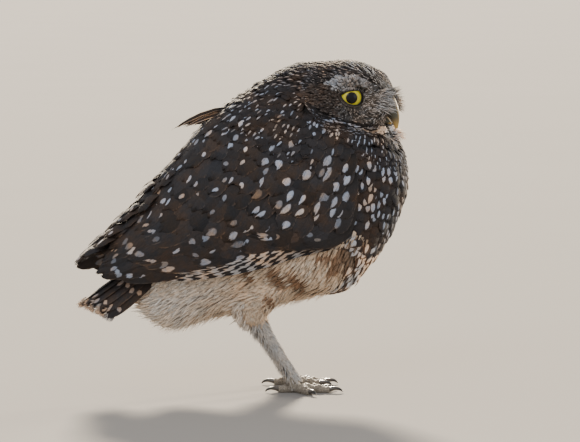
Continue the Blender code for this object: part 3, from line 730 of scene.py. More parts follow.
# Feathers
class Shape:
    """A vane's outline: shares of its length, width at each, and places across from -1 to 1."""

    def __init__(self, shares, widths, columns):
        self.shares = np.array(shares, float)
        self.widths = np.array(widths, float)
        self.columns = np.linspace(-1, 1, columns)
        rows = len(shares)
        top = np.arange(rows * columns).reshape(rows, columns)
        under = rows * columns + np.arange(rows * 2).reshape(rows, 2)
        faces = []
        for row in range(rows - 1):
            for column in range(columns - 1):
                a = top[row, column]
                b = top[row + 1, column]
                c = top[row + 1, column + 1]
                d = top[row, column + 1]
                faces += [(a, b, c), (a, c, d)]
            faces += [(under[row, 0], under[row, 1], under[row + 1, 1]),
                      (under[row, 0], under[row + 1, 1], under[row + 1, 0])]
        for column in range(1, columns - 1):
            faces.append((top[0, 0], top[0, column], top[0, column + 1]))
            faces.append((top[-1, 0], top[-1, column + 1], top[-1, column]))
        self.faces = np.array(faces)
        self.count = rows * columns + rows * 2
        self.across = np.concatenate([np.tile(self.columns, rows), np.tile((-1, 1), rows)])
        self.along = np.concatenate([np.repeat(self.shares, columns), np.repeat(self.shares, 2)])


ROUND = Shape((0, 0.3, 0.58, 0.8, 0.93, 1), (0.3, 0.8, 1, 0.93, 0.66, 0.16), 5)
LEAF = Shape((0, 0.3, 0.6, 0.82, 1), (0.4, 0.95, 1, 0.66, 0.06), 4)
LEAF_DROP = Shape((0, 0.25, 0.5, 0.72, 0.88, 1), (0.35, 0.85, 1, 0.82, 0.5, 0.08), 5)
STRAND = Shape((0, 0.35, 0.7, 1), (0.8, 1, 0.75, 0.08), 3)
COVERT = Shape((0, 0.22, 0.44, 0.64, 0.8, 0.91, 0.975, 1),
               (0.3, 0.72, 0.94, 1, 0.95, 0.76, 0.46, 0.12), 7)
FLIGHT = Shape((0, 0.12, 0.25, 0.4, 0.55, 0.68, 0.79, 0.88, 0.945, 0.985, 1),
               (0.35, 0.62, 0.82, 0.94, 1, 1, 0.95, 0.83, 0.62, 0.34, 0.1), 7)


class Coat:
    """Gathers laid vanes and joins them into one mesh object with its marks and its chart."""

    def __init__(self, name, material):
        self.name = name
        self.material = material
        self.points = []
        self.faces = []
        self.values = {"lie": [], "mark_place": [], "mark_size": [], "base": [], "mark": []}
        self.charts = []
        self.count = 0

    def lay(self, shape, spine, ups, widths, heights, paint, chart,
            field=None, camber=0.12, tilt=0.0, patch=PATCH, fray=0.1):
        """Vanes round spines (feather, row, xyz), raised by heights (feather, row)."""
        number = len(spine)
        if number == 0:
            return
        runs = unit(np.gradient(spine, axis=1))
        across = unit(np.cross(ups, runs))
        half = (np.broadcast_to(widths, (number,)) / 2)[:, None, None] * shape.widths[None, :, None]
        columns = shape.columns[None, None, :]
        arch = (np.broadcast_to(camber, (number,))[:, None, None] * 2 * half) * (1 - columns**2)
        tilt = np.broadcast_to(tilt, (number,))[:, None, None]
        lift = heights[:, :, None] + arch - tilt * columns * shape.widths[None, :, None]
        points = spine[:, :, None, :] + across[:, :, None, :] * (half * columns)[..., None]
        span = fray * np.linalg.norm(spine[:, -1] - spine[:, 0], axis=1)
        loose = span[:, None, None] * draw.uniform(-1, 0.4, (number, 1, len(shape.columns)))
        points = points + runs[:, :, None, :] * (loose * shape.shares[None, :, None] ** 4)[..., None]
        if field is None:
            points = points + ups[:, :, None, :] * lift[..., None]
        else:
            points = field.settle(points, lift)
        rim = points[:, :, (0, -1)]
        points = np.concatenate([points.reshape(number, -1, 3), rim.reshape(number, -1, 3)], axis=1)
        self.points.append(points.reshape(-1, 3))
        shifts = self.count + np.arange(number) * shape.count
        self.faces.append((shape.faces[None] + shifts[:, None, None]).reshape(-1, 3))
        self.count += number * shape.count
        chance = draw.random(number)
        lie = np.empty((number, shape.count, 3))
        lie[..., 0] = shape.across
        lie[..., 1] = shape.along
        lie[..., 2] = chance[:, None]
        self.values["lie"].append(lie.reshape(-1, 3))
        for key in ("mark_place", "mark_size", "base", "mark"):
            value = np.broadcast_to(paint[key], (number, 3))
            self.values[key].append(np.repeat(value, shape.count, axis=0))
        spread = np.stack([shape.across * patch / 2, (shape.along - 0.5) * patch], axis=1)
        self.charts.append((np.asarray(chart)[:, None, :] + spread[None]).reshape(-1, 2))

    def build(self):
        points = np.concatenate(self.points)
        faces = np.concatenate(self.faces)
        mesh = bpy.data.meshes.new(self.name)
        mesh.vertices.add(len(points))
        mesh.vertices.foreach_set("co", points.ravel())
        mesh.loops.add(faces.size)
        mesh.loops.foreach_set("vertex_index", faces.ravel().astype(np.int32))
        mesh.polygons.add(len(faces))
        mesh.polygons.foreach_set("loop_start", np.arange(0, faces.size, 3, dtype=np.int32))
        mesh.update(calc_edges=True)
        mesh.shade_smooth()
        for key in ("lie", "mark_place", "mark_size"):
            set_vectors(mesh, key, np.concatenate(self.values[key]))
        for key in ("base", "mark"):
            set_colours(mesh, key, np.concatenate(self.values[key]))
        chart = mesh.uv_layers.new(name="OFBake")
        chart.data.foreach_set("uv", np.concatenate(self.charts)[faces.ravel()].ravel())
        mesh.materials.append(self.material)
        made = bpy.data.objects.new(self.name, mesh)
        bpy.context.scene.collection.objects.link(made)
        print(self.name, len(faces), "triangles")
        return made


def march(field, roots, runs, lengths, shape, curl=0.0):
    """Spines laid over the form from their roots, and the slope of the form along them."""
    spots = field.settle(roots)
    number = len(roots)
    spine = np.zeros((number, len(shape.shares), 3))
    ups = np.zeros_like(spine)
    lengths = np.broadcast_to(lengths, (number,))
    curl = np.broadcast_to(curl, (number,))
    before = 0.0
    for row, share in enumerate(shape.shares):
        step = share - before
        spots = field.settle(spots + runs * (lengths * step)[:, None]) if row else spots
        up = field.read(spots)[1]
        runs = unit(runs - up * dot(runs, up)[:, None])
        runs = unit(runs + np.cross(up, runs) * (curl * step)[:, None])
        spine[:, row] = spots
        ups[:, row] = up
        before = share
    return spine, ups


def rising(shape, sink, rise, number, bend=0.75):
    """Heights along vanes that leave the skin at the root and lie near the form at the tip."""
    sink = np.broadcast_to(sink, (number,))[:, None]
    rise = np.broadcast_to(rise, (number,))[:, None]
    return -sink + (sink + rise) * smooth(shape.shares[None] / bend)


def paint(number, base, mark=WHITE, centre=9.0, offset=0.0, web=0.0, wide=0.3, tall=0.1, period=99.0,
          spread=0.12, fade=0.3):
    """Colours and marks of feathers, each number given once or for each feather."""
    def column(value, vary=0.0):
        value = np.broadcast_to(np.asarray(value, float), (number,))
        return value * (1 + vary * draw.uniform(-1, 1, number))

    tone = (1 + spread * draw.normal(0, 1, number))[:, None]
    warmth = draw.normal(0, 0.04, number)[:, None] * np.array((1, 0, -1))
    base = np.broadcast_to(base, (number, 3)) * np.clip(tone + warmth, 0.5, 1.6)
    faded = (1 - fade * draw.random(number) ** 1.6)[:, None]
    buff = (fade * draw.random(number) ** 2.5)[:, None]
    mark = np.broadcast_to(mark, (number, 3)) * faded * (1 - buff) + BUFF * 0.8 * faded * buff
    return {"base": base, "mark": mark,
            "mark_place": np.stack([column(centre, 0.04), column(offset, 0.1), column(web)], axis=1),
            "mark_size": np.stack([column(wide, 0.28), column(tall, 0.28), column(period, 0.05)], axis=1)}


def bare(look, share):
    """The same paint with its marks left off a share of the feathers."""
    plain = draw.random(len(look["base"])) < share
    look["mark_place"][plain, 0] = 9
    look["mark_size"][plain, 2] = 99
    return look


def choose(looks):
    """One paint out of several, each later one laid over the ones before where its mask is true."""
    result = looks[0][1]
    for mask, look in looks[1:]:
        for key in result:
            result[key][mask] = look[key][mask]
    return result


def body_chart(station, angle, side):
    """Place on the unwrap of the body: belly in the middle, back at both edges, tail at the top."""
    return np.stack([0.5 + side * (angle + 90) / 180 * 0.485, 0.02 + station / 14.5 * 0.62], axis=1)


def head_chart(direction):
    """Place on the unwrap of the head: a disc round the way that it faces."""
    face, left, up = head_axes()
    direction = unit(direction)
    polar = np.arccos(np.clip(direction @ face, -1, 1)) / math.pi
    round_face = np.arctan2(direction @ up, direction @ left)
    return np.stack([0.5 + 0.165 * polar * np.cos(round_face),
                     0.825 + 0.165 * polar * np.sin(round_face)], axis=1)


def grid_roots(rows, first, last, low, high, along, across, jitter=0.22, sides=(-1, 1)):
    """Staggered roots over part of a body form: station, angle and side of each."""
    places = []
    for side in sides:
        station = first
        stagger = 0.25
        while station < last:
            lowest = np.interp(station, *low) if isinstance(low, tuple) else low
            highest = np.interp(station, *high) if isinstance(high, tuple) else high
            angles = np.linspace(lowest, highest, 80)
            ring = surface(rows, station, angles)
            reach = np.concatenate([[0], np.cumsum(np.linalg.norm(np.diff(ring, axis=0), axis=1))])
            shift = surface(rows, station + 0.05, angles) - ring
            pace = np.linalg.norm(shift, axis=1) / 0.05
            wanted = np.arange(stagger * across, reach[-1], across)
            at = np.interp(wanted, reach, angles)
            slack = along * jitter / np.interp(at, angles, pace)
            for angle, loose in zip(at, slack):
                places.append((station + loose * draw.uniform(-1, 1), angle + draw.uniform(-1, 1) * 1.0, side))
            station += along / np.median(pace)
            stagger = 0.75 - (stagger - 0.25) if stagger < 0.5 else 0.25
    return np.array(places).T


def run_of(rows, station, angle, side, swing=0.0):
    """Direction along the body toward the tail, swung toward the back by some degrees."""
    here = surface(rows, station, angle, side)
    along = unit(surface(rows, station + 0.02, angle, side) - here)
    upward = unit(surface(rows, station, angle + 0.5, side) - here)
    swing = np.radians(np.broadcast_to(swing, station.shape))[:, None]
    return unit(along * np.cos(swing) + upward * np.sin(swing))


# Brown patches of the flank, the three at the front (x 49 to 66 mm) partly painted shade under the breast: x, z,
# length and width in mm, and slope in degrees
FLANK_BROWN_AND_SHADE_PATCHES = (
    (21, 70, 17, 8.5, -55),
    (33, 67, 16, 6.5, -47),
    (16.5, 56, 10, 4.5, -52),
    (49, 82, 12, 6, -10),
    (66, 83, 26, 17, 50),
    (57, 80, 24, 8, 62),
    (4, 71, 9, 4, -60),
)


# Plumage of the body by station and angle
def breast_paint(station, angle):
    """Dark with pale drops, large at the sides, and long white drops with brown edges below."""
    number = len(station)
    at = station + draw.normal(0, 0.15, number)
    grown = smooth((at - 4.6) / 2.6)
    flank = smooth((angle + draw.normal(0, 3, number) + 62) / 14)
    upper = bare(paint(number, DARK * 1.25, SPOT_WITH_SHADE_TINT * 1.1, centre=0.68,
                       wide=0.16 + 0.09 * grown + 0.17 * flank, tall=0.20 + 0.10 * grown + 0.06 * flank,
                       fade=0.45), 0.42 + 0.06 * flank)
    lower = paint(number, BROWN * 1.3, WHITE * 1.05, centre=0.60, wide=0.50, tall=0.37)
    return choose(((None, upper), (at > 6.0, lower)))


def flank_tone(points, side):
    """Cream with soft brown patches, whiter toward the vent. The patches under the front of the breast are partly
    brown plumage and partly painted shade.
    """
    number = len(points)
    white = smooth((10 * MM - points[:, 0]) / (50 * MM))[:, None]
    tone = CREAM * 0.9 * (1 - white) + (WHITE * 1.0 + CREAM * 0.35) / 1.35 * white
    tone = tone * (1 + 0.05 * draw.normal(0, 1, number))[:, None]
    brown = np.zeros(number)
    for x, z, length, width, slope in FLANK_BROWN_AND_SHADE_PATCHES:
        shift = np.where(side > 0, -4, 0) * MM
        ahead = points[:, 0] - x * MM - shift
        above = points[:, 2] - z * MM
        turn = math.radians(slope)
        along = ahead * math.cos(turn) + above * math.sin(turn)
        aside = above * math.cos(turn) - ahead * math.sin(turn)
        off = np.hypot(along / (length / 2 * MM), aside / (width / 2 * MM))
        brown = np.maximum(brown, smooth((1.25 - off + draw.normal(0, 0.10, number)) / 0.5))
    # Ahead of x = 52 mm the patches turn a darker brown, partly plumage and partly painted shade under the
    # breast.
    front = smooth((points[:, 0] - 52 * MM) / (14 * MM))[:, None]
    brown = (brown * 0.88)[:, None]
    return tone * (1 - brown) + (PATCH_BROWN * (1 - front) + BROWN * 2.0 * front) * brown


def neck_paint(angle):
    """Dark feathers with short pale streaks, more of them in front."""
    number = len(angle)
    front = angle < -25 + draw.normal(0, 8, number)
    rear = bare(paint(number, DARK, SPOT_WITH_SHADE_TINT * 0.95, centre=0.68, wide=0.19, tall=0.24, fade=0.5), 0.55)
    ahead = bare(paint(number, DARK * 1.2, SPOT_WITH_SHADE_TINT, centre=0.62, wide=0.13, tall=0.30), 0.34)
    return choose(((None, rear), (front, ahead)))


def face_rim(turn):
    """Pitch of the dark rim under the face at a turn from the bill."""
    return np.interp(turn, (0, 14, 45, 73, 92, 108), (-26.5, -25, -20.5, -16.5, -14.5, -4))


def head_paint(turn, pitch):
    """Crown, brow, cheeks, ear patch, lines under the face, chin and nape."""
    number = len(turn)
    turn = np.abs(turn) + draw.normal(0, 1.3, number)
    pitch = pitch + draw.normal(0, 0.9, number)
    below = pitch - face_rim(turn)
    brow_low = np.interp(turn, (24, 40, 58, 74, 80), (23, 25, 25, 21, 26))
    brow_high = np.interp(turn, (24, 28, 32, 37, 51, 68, 76, 82), (22, 26, 30, 33.5, 36.5, 37, 34, 26))
    streak = (SPOT_WITH_SHADE_TINT + BUFF) / 2
    nape = bare(paint(number, DARK * 1.1, (SPOT_WITH_SHADE_TINT * 1.5 + BUFF * 0.5) / 2 * 0.95, centre=0.66, wide=0.20, tall=0.28,
                      spread=0.2, fade=0.5), 0.38)
    crown = bare(paint(number, DARK * 0.9, streak * 1.05, centre=0.62, wide=0.20, tall=0.26, spread=0.25), 0.60)
    forehead = bare(paint(number, DARK * 0.85, (WHITE + SPOT_WITH_SHADE_TINT) / 2 * 1.1, centre=0.60, wide=0.24, tall=0.34,
                          spread=0.25), 0.40)
    cheek = bare(paint(number, GREY * 0.56, (SPOT_WITH_SHADE_TINT * 1.4 + BUFF * 0.6) / 2 * 0.62, centre=0.70, wide=0.45, tall=0.16, spread=0.3),
                 0.45)
    ear = bare(paint(number, (DARK + BROWN) / 2 + GREY * 0.07, (BUFF + SPOT_WITH_SHADE_TINT) / 2 * 0.45, centre=0.60, wide=0.20, tall=0.42, spread=0.3),
               0.62)
    lores = bare(paint(number, GREY * 0.66, (WHITE + SPOT_WITH_SHADE_TINT) / 2 * 0.9, centre=0.55, wide=0.34, tall=0.5,
                       spread=0.35), 0.45)
    brow = bare(paint(number, (WHITE * 0.8 + SPOT_WITH_SHADE_TINT * 1.2) / 2 * 0.62, DARK * 2, centre=0.5, wide=0.22, tall=0.6,
                      spread=0.3), 0.45)
    line = paint(number, DARK * 0.45, GREY, spread=0.15)
    pale_line = bare(paint(number, SPOT_WITH_SHADE_TINT * 0.72, DARK, centre=0.5, wide=0.25, tall=0.6, spread=0.3), 0.5)
    collar = bare(paint(number, (WHITE * 1.4 + BUFF * 0.6) / 2 * 0.50, DARK * 1.2, centre=0.55, wide=0.35,
                        tall=0.6, spread=0.35), 0.35)
    chin = paint(number, WHITE * 0.86, GREY, spread=0.1)
    under = bare(paint(number, DARK * 1.1, SPOT_WITH_SHADE_TINT * 0.85, centre=0.60, wide=0.30, tall=0.30), 0.5)
    in_face = turn < 104
    pale_strand = draw.random(number)
    return choose((
        (None, nape),
        (turn < 100, crown),
        ((turn < 40) & (pitch > 24), forehead),
        (in_face & (below > 0) & (pitch < 24), cheek),
        (in_face & (turn > 70) & (below > 0) & (pitch < 24), ear),
        ((turn < 40) & (pitch > -20) & (pitch < 26), lores),
        ((pitch > brow_low - 2) & (pitch < brow_high) & (turn > 24) & (turn < 90), brow),
        ((turn < 108) & (below < -1.5), under),
        ((below < -7.0) & (below > -12.0) & (turn < 46) & (pale_strand < 0.7), collar),
        ((turn < 84) & (below < -2.0) & (below > -4.6) & (pale_strand < 0.8), pale_line),
        ((turn < 104) & (np.abs(below) < 1.9), line),
        ((turn < 74) & (np.abs(below + 6.2) < 1.5), line),
        ((turn < 17) & (pitch < -26) & (pitch > -41), chin),
    ))


# Forms that the coat lies on
print("making forms")
trunk_parts = [outward(loft_part(TRUNK, 1.0, 13.0, 60)), outward(head_part())]
for leg in (-1, 1):
    trunk_parts.append(outward(grid_mesh(thigh_rings(leg))))
    trunk_parts.append(outward(grid_mesh(tarsus_rings(leg))))
body_mesh = bare_form(trunk_parts, FORM_VOXEL, "body_form")
cloak_mesh = bare_form([outward(loft_part(CLOAK, 0.6, 14.0, 70))], FORM_VOXEL, "cloak_form")
print("form", len(body_mesh.vertices))
body_field = Field(body_mesh)
print("field", body_field.grid.shape)
cloak_field = Field(cloak_mesh)
print("field", cloak_field.grid.shape)


def body_places(points):
    """Nearest station, angle and side on the trunk for points of the skin."""
    stations, angles = np.meshgrid(np.linspace(1.5, 13, 90), np.linspace(-90, 90, 61), indexing="ij")
    table = surface(TRUNK, stations, angles).reshape(-1, 3)
    tree = KDTree(len(table))
    for index, spot in enumerate(table.tolist()):
        tree.insert(spot, index)
    tree.balance()
    folded = points * np.array((1, 0, 1)) + np.abs(points) * np.array((0, 1, 0))
    found = np.array([tree.find(spot)[1] for spot in folded.tolist()])
    return stations.ravel()[found], angles.ravel()[found]


def on_head(points):
    """How far points belong to the head, from 0 to 1."""
    height = (points - surface(TRUNK, HEAD_BASE, -90)) @ section_normal(TRUNK, HEAD_BASE)
    return smooth(height / (3 * MM) + 0.5)


# Skin
def make_skin(material):
    """The one skin under the coat, inside the form by the coat's depth, with the coat's colours."""
    mesh = body_mesh.copy()
    mesh.name = "skin"
    points = mesh_points(mesh)
    normals = body_field.read(points)[1]
    headward = on_head(points)
    turn, pitch = head_angles(points - HEAD_CENTRE)
    faceward = headward * smooth((96 - np.abs(turn)) / 20) * smooth((26 - pitch) / 10)
    depth = BODY_DEPTH + (CROWN_DEPTH - BODY_DEPTH) * headward
    depth = depth + (FACE_DEPTH - depth) * faceward
    leg = smooth((48 * MM - points[:, 2]) / (6 * MM)) * (np.abs(points[:, 1]) > 6 * MM)
    leg = leg * smooth((points[:, 0] - 2 * MM) / (4 * MM))
    depth = depth + (LEG_DEPTH - depth) * leg
    points = points - normals * depth[:, None]
    mesh.vertices.foreach_set("co", points.ravel())
    station, angle = body_places(points)
    lower = (station > 7.4)[:, None]
    colour = np.where(lower, flank_tone(points, np.sign(points[:, 1])), breast_paint(station, angle)["base"])
    colour = np.where((angle < 20)[:, None], colour, DARK)
    colour = colour * (1 - headward[:, None]) + head_paint(turn, pitch)["base"] * headward[:, None]
    colour[leg > 0.5] = (WHITE + GREY * 0.4) / 1.4
    set_colours(mesh, "base", colour * 0.8)
    mesh.materials.append(material)
    mesh.shade_smooth()
    made = bpy.data.objects.new("skin", mesh)
    bpy.context.scene.collection.objects.link(made)
    return made


# Opening of the lids in mm, rearward and up from the pupil's middle
LID_CORNERS = np.array((
    (7.15, 0.75), (4.6, 2.3), (2.4, 3.5), (0, 3.9), (-3.2, 4.15), (-5.5, 3.95), (-6.4, 2.7), (-6.6, 0),
    (-6.3, -2.5), (-4.8, -3.95), (-1.6, -4.5), (1.0, -4.35), (2.6, -3.6), (5.0, -1.65),
))


def lid_outline(turn):
    """The opening in millimetres at turns round the pupil's middle, from the back upward."""
    after = np.roll(LID_CORNERS, -1, axis=0)
    shares = np.arange(12)[None, :, None] / 12
    edge = (LID_CORNERS[:, None] * (1 - shares) + after[:, None] * shares).reshape(-1, 2)
    edge_turn = np.arctan2(edge[:, 1], edge[:, 0])
    radius = np.interp(turn, edge_turn[np.argsort(edge_turn)],
                       np.linalg.norm(edge, axis=1)[np.argsort(edge_turn)], period=2 * math.pi)
    return radius[..., None] * np.stack([np.cos(turn), np.sin(turn)], axis=-1)


def make_lids(way, material):
    """The rim of the lids round one eye, from inside the opening out to the face."""
    look, rearward, up = eye_axes(way)
    centre = eye_centre(way)
    turns = np.arange(64) * 2 * math.pi / 64
    opening = lid_outline(turns) * MM
    outward_2d = unit(opening)
    rings = []
    for spread, lift in ((-0.1, 0.05), (0.0, 0.5), (0.3, 0.85), (0.8, 0.95), (1.5, 0.8), (2.4, 0.55),
                         (3.4, 0.35), (4.6, 0.2)):
        flat = opening + outward_2d * spread * MM
        radius = EYE_RADIUS + lift * MM
        depth = np.sqrt(np.maximum(radius**2 - np.sum(flat**2, axis=1), (1.2 * MM) ** 2))
        rings.append(centre + flat[:, :1] * rearward + flat[:, 1:] * up + depth[:, None] * look)
    count = len(turns)
    points = np.vstack(rings)
    faces = []
    for level in range(len(rings) - 1):
        for step in range(count):
            after = (step + 1) % count
            faces.append((level * count + step, level * count + after,
                          (level + 1) * count + after, (level + 1) * count + step))
    lids = add_object("lids", points, faces, material)
    normal = np.array(lids.data.polygons[0].normal)
    if normal @ look < 0:
        lids.data.flip_normals()
    return lids


def make_eye(name, way, material):
    """Eyeball with a raised cornea. The attribute gaze holds the place from the pupil outward."""
    look, rearward, up = eye_axes(way)
    rings = []
    gaze = []
    around = np.arange(72) * 2 * math.pi / 72
    spread = 2 * math.asin(IRIS_RADIUS / EYE_RADIUS / 2)
    for angle in np.concatenate([np.linspace(0.01, 1.2, 40), np.linspace(1.3, math.pi - 0.02, 14)]):
        bulge = CORNEA_RISE * np.clip(1 - (angle / 0.95) ** 2, 0, 1) ** 2
        direction = math.cos(angle) * look + math.sin(angle) * (
            np.cos(around)[:, None] * rearward + np.sin(around)[:, None] * up)
        rings.append(eye_centre(way) + direction * (EYE_RADIUS + bulge))
        radius = np.full(72, math.sin(min(angle, math.pi / 2)) * EYE_RADIUS / IRIS_RADIUS)
        if angle > spread * 1.4:
            radius = np.maximum(radius, 1.1)
        gaze.append(np.stack([radius, np.cos(around), np.sin(around)], axis=1))
    points, faces = grid_mesh(rings)
    made = add_object(name, points, faces, material)
    gaze = np.vstack([np.concatenate(gaze), (0, 1, 0), (1.2, 1, 0)])
    set_vectors(made.data, "gaze", gaze)
    return made


# Bill
def bill_ring(centre, width, height, slope, sides, keel=0.0):
    """One section of the bill in the head's own frame, at a slope in its middle plane."""
    turn = np.arange(sides) * 2 * math.pi / sides
    side = width / 2 * np.cos(turn)
    rise = height / 2 * np.sin(turn)
    rise = rise + np.where(rise > 0, keel * (1 - np.abs(np.cos(turn))), 0)
    ring = np.stack([centre[0] + rise * math.cos(slope), side, centre[1] + rise * math.sin(slope)], axis=1)
    return from_head(ring)


def loft(name, rings, material, ridge=None):
    """A closed lofted object whose attribute lie holds the place round it and along it."""
    points, faces = grid_mesh(rings)
    made = add_object(name, points, faces, material)
    levels = len(rings)
    sides = len(rings[0])
    turn = np.tile(np.sin(np.arange(sides) * 2 * math.pi / sides) if ridge is None else ridge, levels)
    along = np.repeat(np.linspace(0, 1, levels), sides)
    lie = np.stack([turn, along, np.zeros_like(turn)], axis=1)
    lie = np.vstack([lie, (0, 0, 0), (1, 1, 0)])
    set_vectors(made.data, "lie", lie)
    return made


def make_upper_bill(material):
    rings = []
    for share in np.linspace(0, 1, 22):
        bend = math.radians(-18 - 72 * share)
        centre = (BILL_ROOT[0] + BILL_LENGTH * (0.02 + 0.36 * math.sin(share * math.pi * 0.5)),
                  BILL_ROOT[2] - BILL_LENGTH * 0.98 * share**1.35)
        cere = 0.35 * MM * math.exp(-((share - 0.16) / 0.12) ** 2)
        width = BILL_WIDTH * (1 - share**1.6) + 1.0 * MM + cere
        height = (9.5 * MM) * (1 - share**1.3) + 1.3 * MM + cere
        rings.append(bill_ring(centre, width, height, bend + math.pi / 2, 32, keel=0.4 * MM))
    bill = loft("upper_bill", rings, material)
    points = mesh_points(bill.data)
    inward = unit(from_head((BILL_ROOT[0] + 1.5 * MM, 0, -3.0 * MM)) - points)
    for way in (-1, 1):
        spot = from_head((BILL_ROOT[0] + 5.3 * MM, way * 3.9 * MM, -1.3 * MM))
        near = np.exp(-(np.linalg.norm(points - spot, axis=1) / (1.0 * MM)) ** 2)
        points = points + inward * (near * 1.1 * MM)[:, None]
    bill.data.vertices.foreach_set("co", points.ravel())
    bill.data.update()
    return bill


def make_lower_bill(material):
    rings = []
    for share in np.linspace(0, 1, 12):
        centre = (BILL_ROOT[0] - 1.8 * MM + 4.6 * MM * share, BILL_ROOT[2] - 9.8 * MM - 2.6 * MM * share)
        width = 5.6 * MM * (1 - share**1.5) + 1.4 * MM
        height = 4.2 * MM * (1 - share) + 1.3 * MM
        rings.append(bill_ring(centre, width, height, math.radians(60 - 30 * share), 24))
    return loft("lower_bill", rings, material)


# Feet
def toe_ring(centre, heading, width, height, sides=20):
    """A toe's section, flat below."""
    across = np.array((-heading[1], heading[0], 0))
    turns = np.radians(np.linspace(-50, 230, sides))
    side = np.clip(np.cos(turns), -1, 1) * width / 2
    rise = np.maximum(0.5 + 0.5 * np.sin(turns), 0.0)
    rise = np.where(turns < math.radians(-30), 0.0, rise)
    rise = np.where(turns > math.radians(210), 0.0, rise)
    return centre + across * side[:, None] + np.array((0, 0, 1.0)) * (rise * height)[:, None]


def make_foot(name, side, material, claw_finish):
    ankle = ANKLE + leg_shift(side)
    ground = np.array((ankle[0], ankle[1], 0))
    parts = []
    claws = []
    for toe, length, turn_out in TOES:
        heading_turn = math.radians(turn_out) * side
        heading = np.array((math.cos(heading_turn), math.sin(heading_turn), 0))
        rings = []
        for share in np.linspace(-0.2, 1.0, 46):
            pad = 1 + 0.12 * math.cos(share * 6 * math.pi)
            scute = 1 + 0.035 * abs(math.sin(share * length * 2.1))
            blunt = smooth((share + 0.26) / 0.16) * smooth((1.1 - share) / 0.16)
            width = TOE_WIDTH * pad * (1 - 0.3 * max(share, 0)) * (0.55 + 0.45 * blunt)
            height = TOE_HEIGHT * pad * scute * (1 - 0.28 * max(share, 0) ** 2) * (0.62 + 0.38 * blunt)
            rings.append(toe_ring(ground + heading * length * MM * share, heading, width, height))
        parts.append(loft("toe", rings, material))
        claws.append((toe, make_claw("claw_" + name + "_" + toe + "_horn", ground, heading, length * MM,
                                     claw_finish)))
    knuckle = []
    for height, width in ((0.0, 3.0), (0.4, 3.6), (1.2, 4.2), (3.0, 4.4), (4.8, 4.2), (6.4, 3.8), (8.0, 3.6),
                          (9.6, 3.4)):
        centre = ground + np.array((-0.45 * height, 0, height)) * MM
        knuckle.append(ellipse_ring(centre, np.array((width * MM, 0, 0)), np.array((0, width * MM, 0)), 24))
    parts.append(loft("knuckle", knuckle, material))
    return join_objects(parts, "foot_" + name + "_scaled"), claws


def make_claw(name, ground, heading, length, material):
    """A curved claw from the toe's end down to the floor."""
    across = np.array((-heading[1], heading[0], 0))
    up = np.array((0, 0, 1.0))
    start = ground + heading * (length - 0.3 * MM)
    rings = []
    for share in np.linspace(0, 1, 16):
        ahead = CLAW_LENGTH * 0.96 * math.sin(share * 1.25) / math.sin(1.25)
        rise = (2.05 + 1.0 * math.sin(share * math.pi) - 1.25 * share**1.6) * MM
        half = (1.3 * (1 - share) ** 0.8 + 0.24) * MM
        tilt = 0.35 - 1.5 * share
        first = across * half * 0.8
        second = (up * math.cos(tilt) - heading * math.sin(tilt)) * half
        rings.append(ellipse_ring(start + heading * ahead + up * rise, first, second, 16))
    return loft(name, rings, material)


# Coats of the head
def sphere_roots(spacing, radius=29 * MM):
    """Evenly spread directions from the head's centre, about one for each spacing squared."""
    number = int(4 * math.pi * radius**2 / spacing**2)
    index = np.arange(number) + 0.5
    height = 1 - 2 * index / number
    turn = index * math.pi * (3 - math.sqrt(5))
    flat = np.sqrt(1 - height**2)
    direction = np.stack([flat * np.cos(turn), flat * np.sin(turn), height], axis=1)
    return unit(direction + draw.normal(0, 0.18 * spacing / radius, (number, 3)))


def head_runs(roots):
    """Lie of the head's feathers: away from the bill, and outward round each eye."""
    face, left, up = head_axes()
    runs = -face * 1.0 - up * 0.18 + unit(roots - HEAD_CENTRE) * 0.0
    runs = np.broadcast_to(runs, roots.shape).copy()
    for way in (-1, 1):
        away = roots - eye_front(way)
        far = np.linalg.norm(away, axis=1)
        near = (1 - smooth((far - 7.5 * MM) / (8 * MM)))[:, None]
        runs = runs * (1 - near) + unit(away) * near
    turn, pitch = head_angles(roots - HEAD_CENTRE)
    chin = (smooth((34 - np.abs(turn)) / 12) * smooth((-14 - pitch) / 10))[:, None]
    runs = runs * (1 - chin) + (face * 0.15 - up) * chin
    slope = body_field.read(roots)[1]
    return unit(runs - slope * dot(runs, slope)[:, None])


def clear_of_eyes(roots, reach):
    keep = np.ones(len(roots), bool)
    for way in (-1, 1):
        look, rearward, up = eye_axes(way)
        away = roots - eye_front(way)
        place = np.stack([away @ rearward, away @ up], axis=1)
        turn = np.arctan2(place[:, 1], place[:, 0])
        edge = np.linalg.norm(lid_outline(turn), axis=1) * MM + reach
        front = dot(unit(roots - HEAD_CENTRE), look) > 0.3
        keep &= ~(front & (np.linalg.norm(place, axis=1) < edge))
    return keep


def clear_of_bill(roots):
    away = roots - from_head((BILL_ROOT[0], 0, -5.0 * MM))
    face, left, up = head_axes()
    return ((away @ left) / (4.6 * MM)) ** 2 + ((away @ up) / (7.5 * MM)) ** 2 > 1


def head_roots(spacing):
    direction = sphere_roots(spacing)
    roots = HEAD_CENTRE + direction * head_radius(direction)[:, None]
    keep = on_head(roots) > 0.25
    return roots[keep], direction[keep]


def lay_head(coat, shape, keep, roots, direction, length, width, sink, rise, camber=0.1, loose=0.16):
    roots = roots[keep]
    direction = direction[keep]
    number = len(roots)
    turn, pitch = head_angles(direction)
    look = head_paint(turn, pitch)
    runs = head_runs(roots)
    runs = unit(runs + draw.normal(0, loose, (number, 3)))
    lengths = length * draw.uniform(0.85, 1.15, number)
    spine, ups = march(body_field, roots, runs, lengths, shape)
    heights = rising(shape, sink, rise * draw.uniform(0.4, 1.6, number), number)
    coat.lay(shape, spine, ups, width * draw.uniform(0.85, 1.15, number), heights, look,
             head_chart(direction), body_field, camber, draw.normal(0, 0.1 * MM, number))


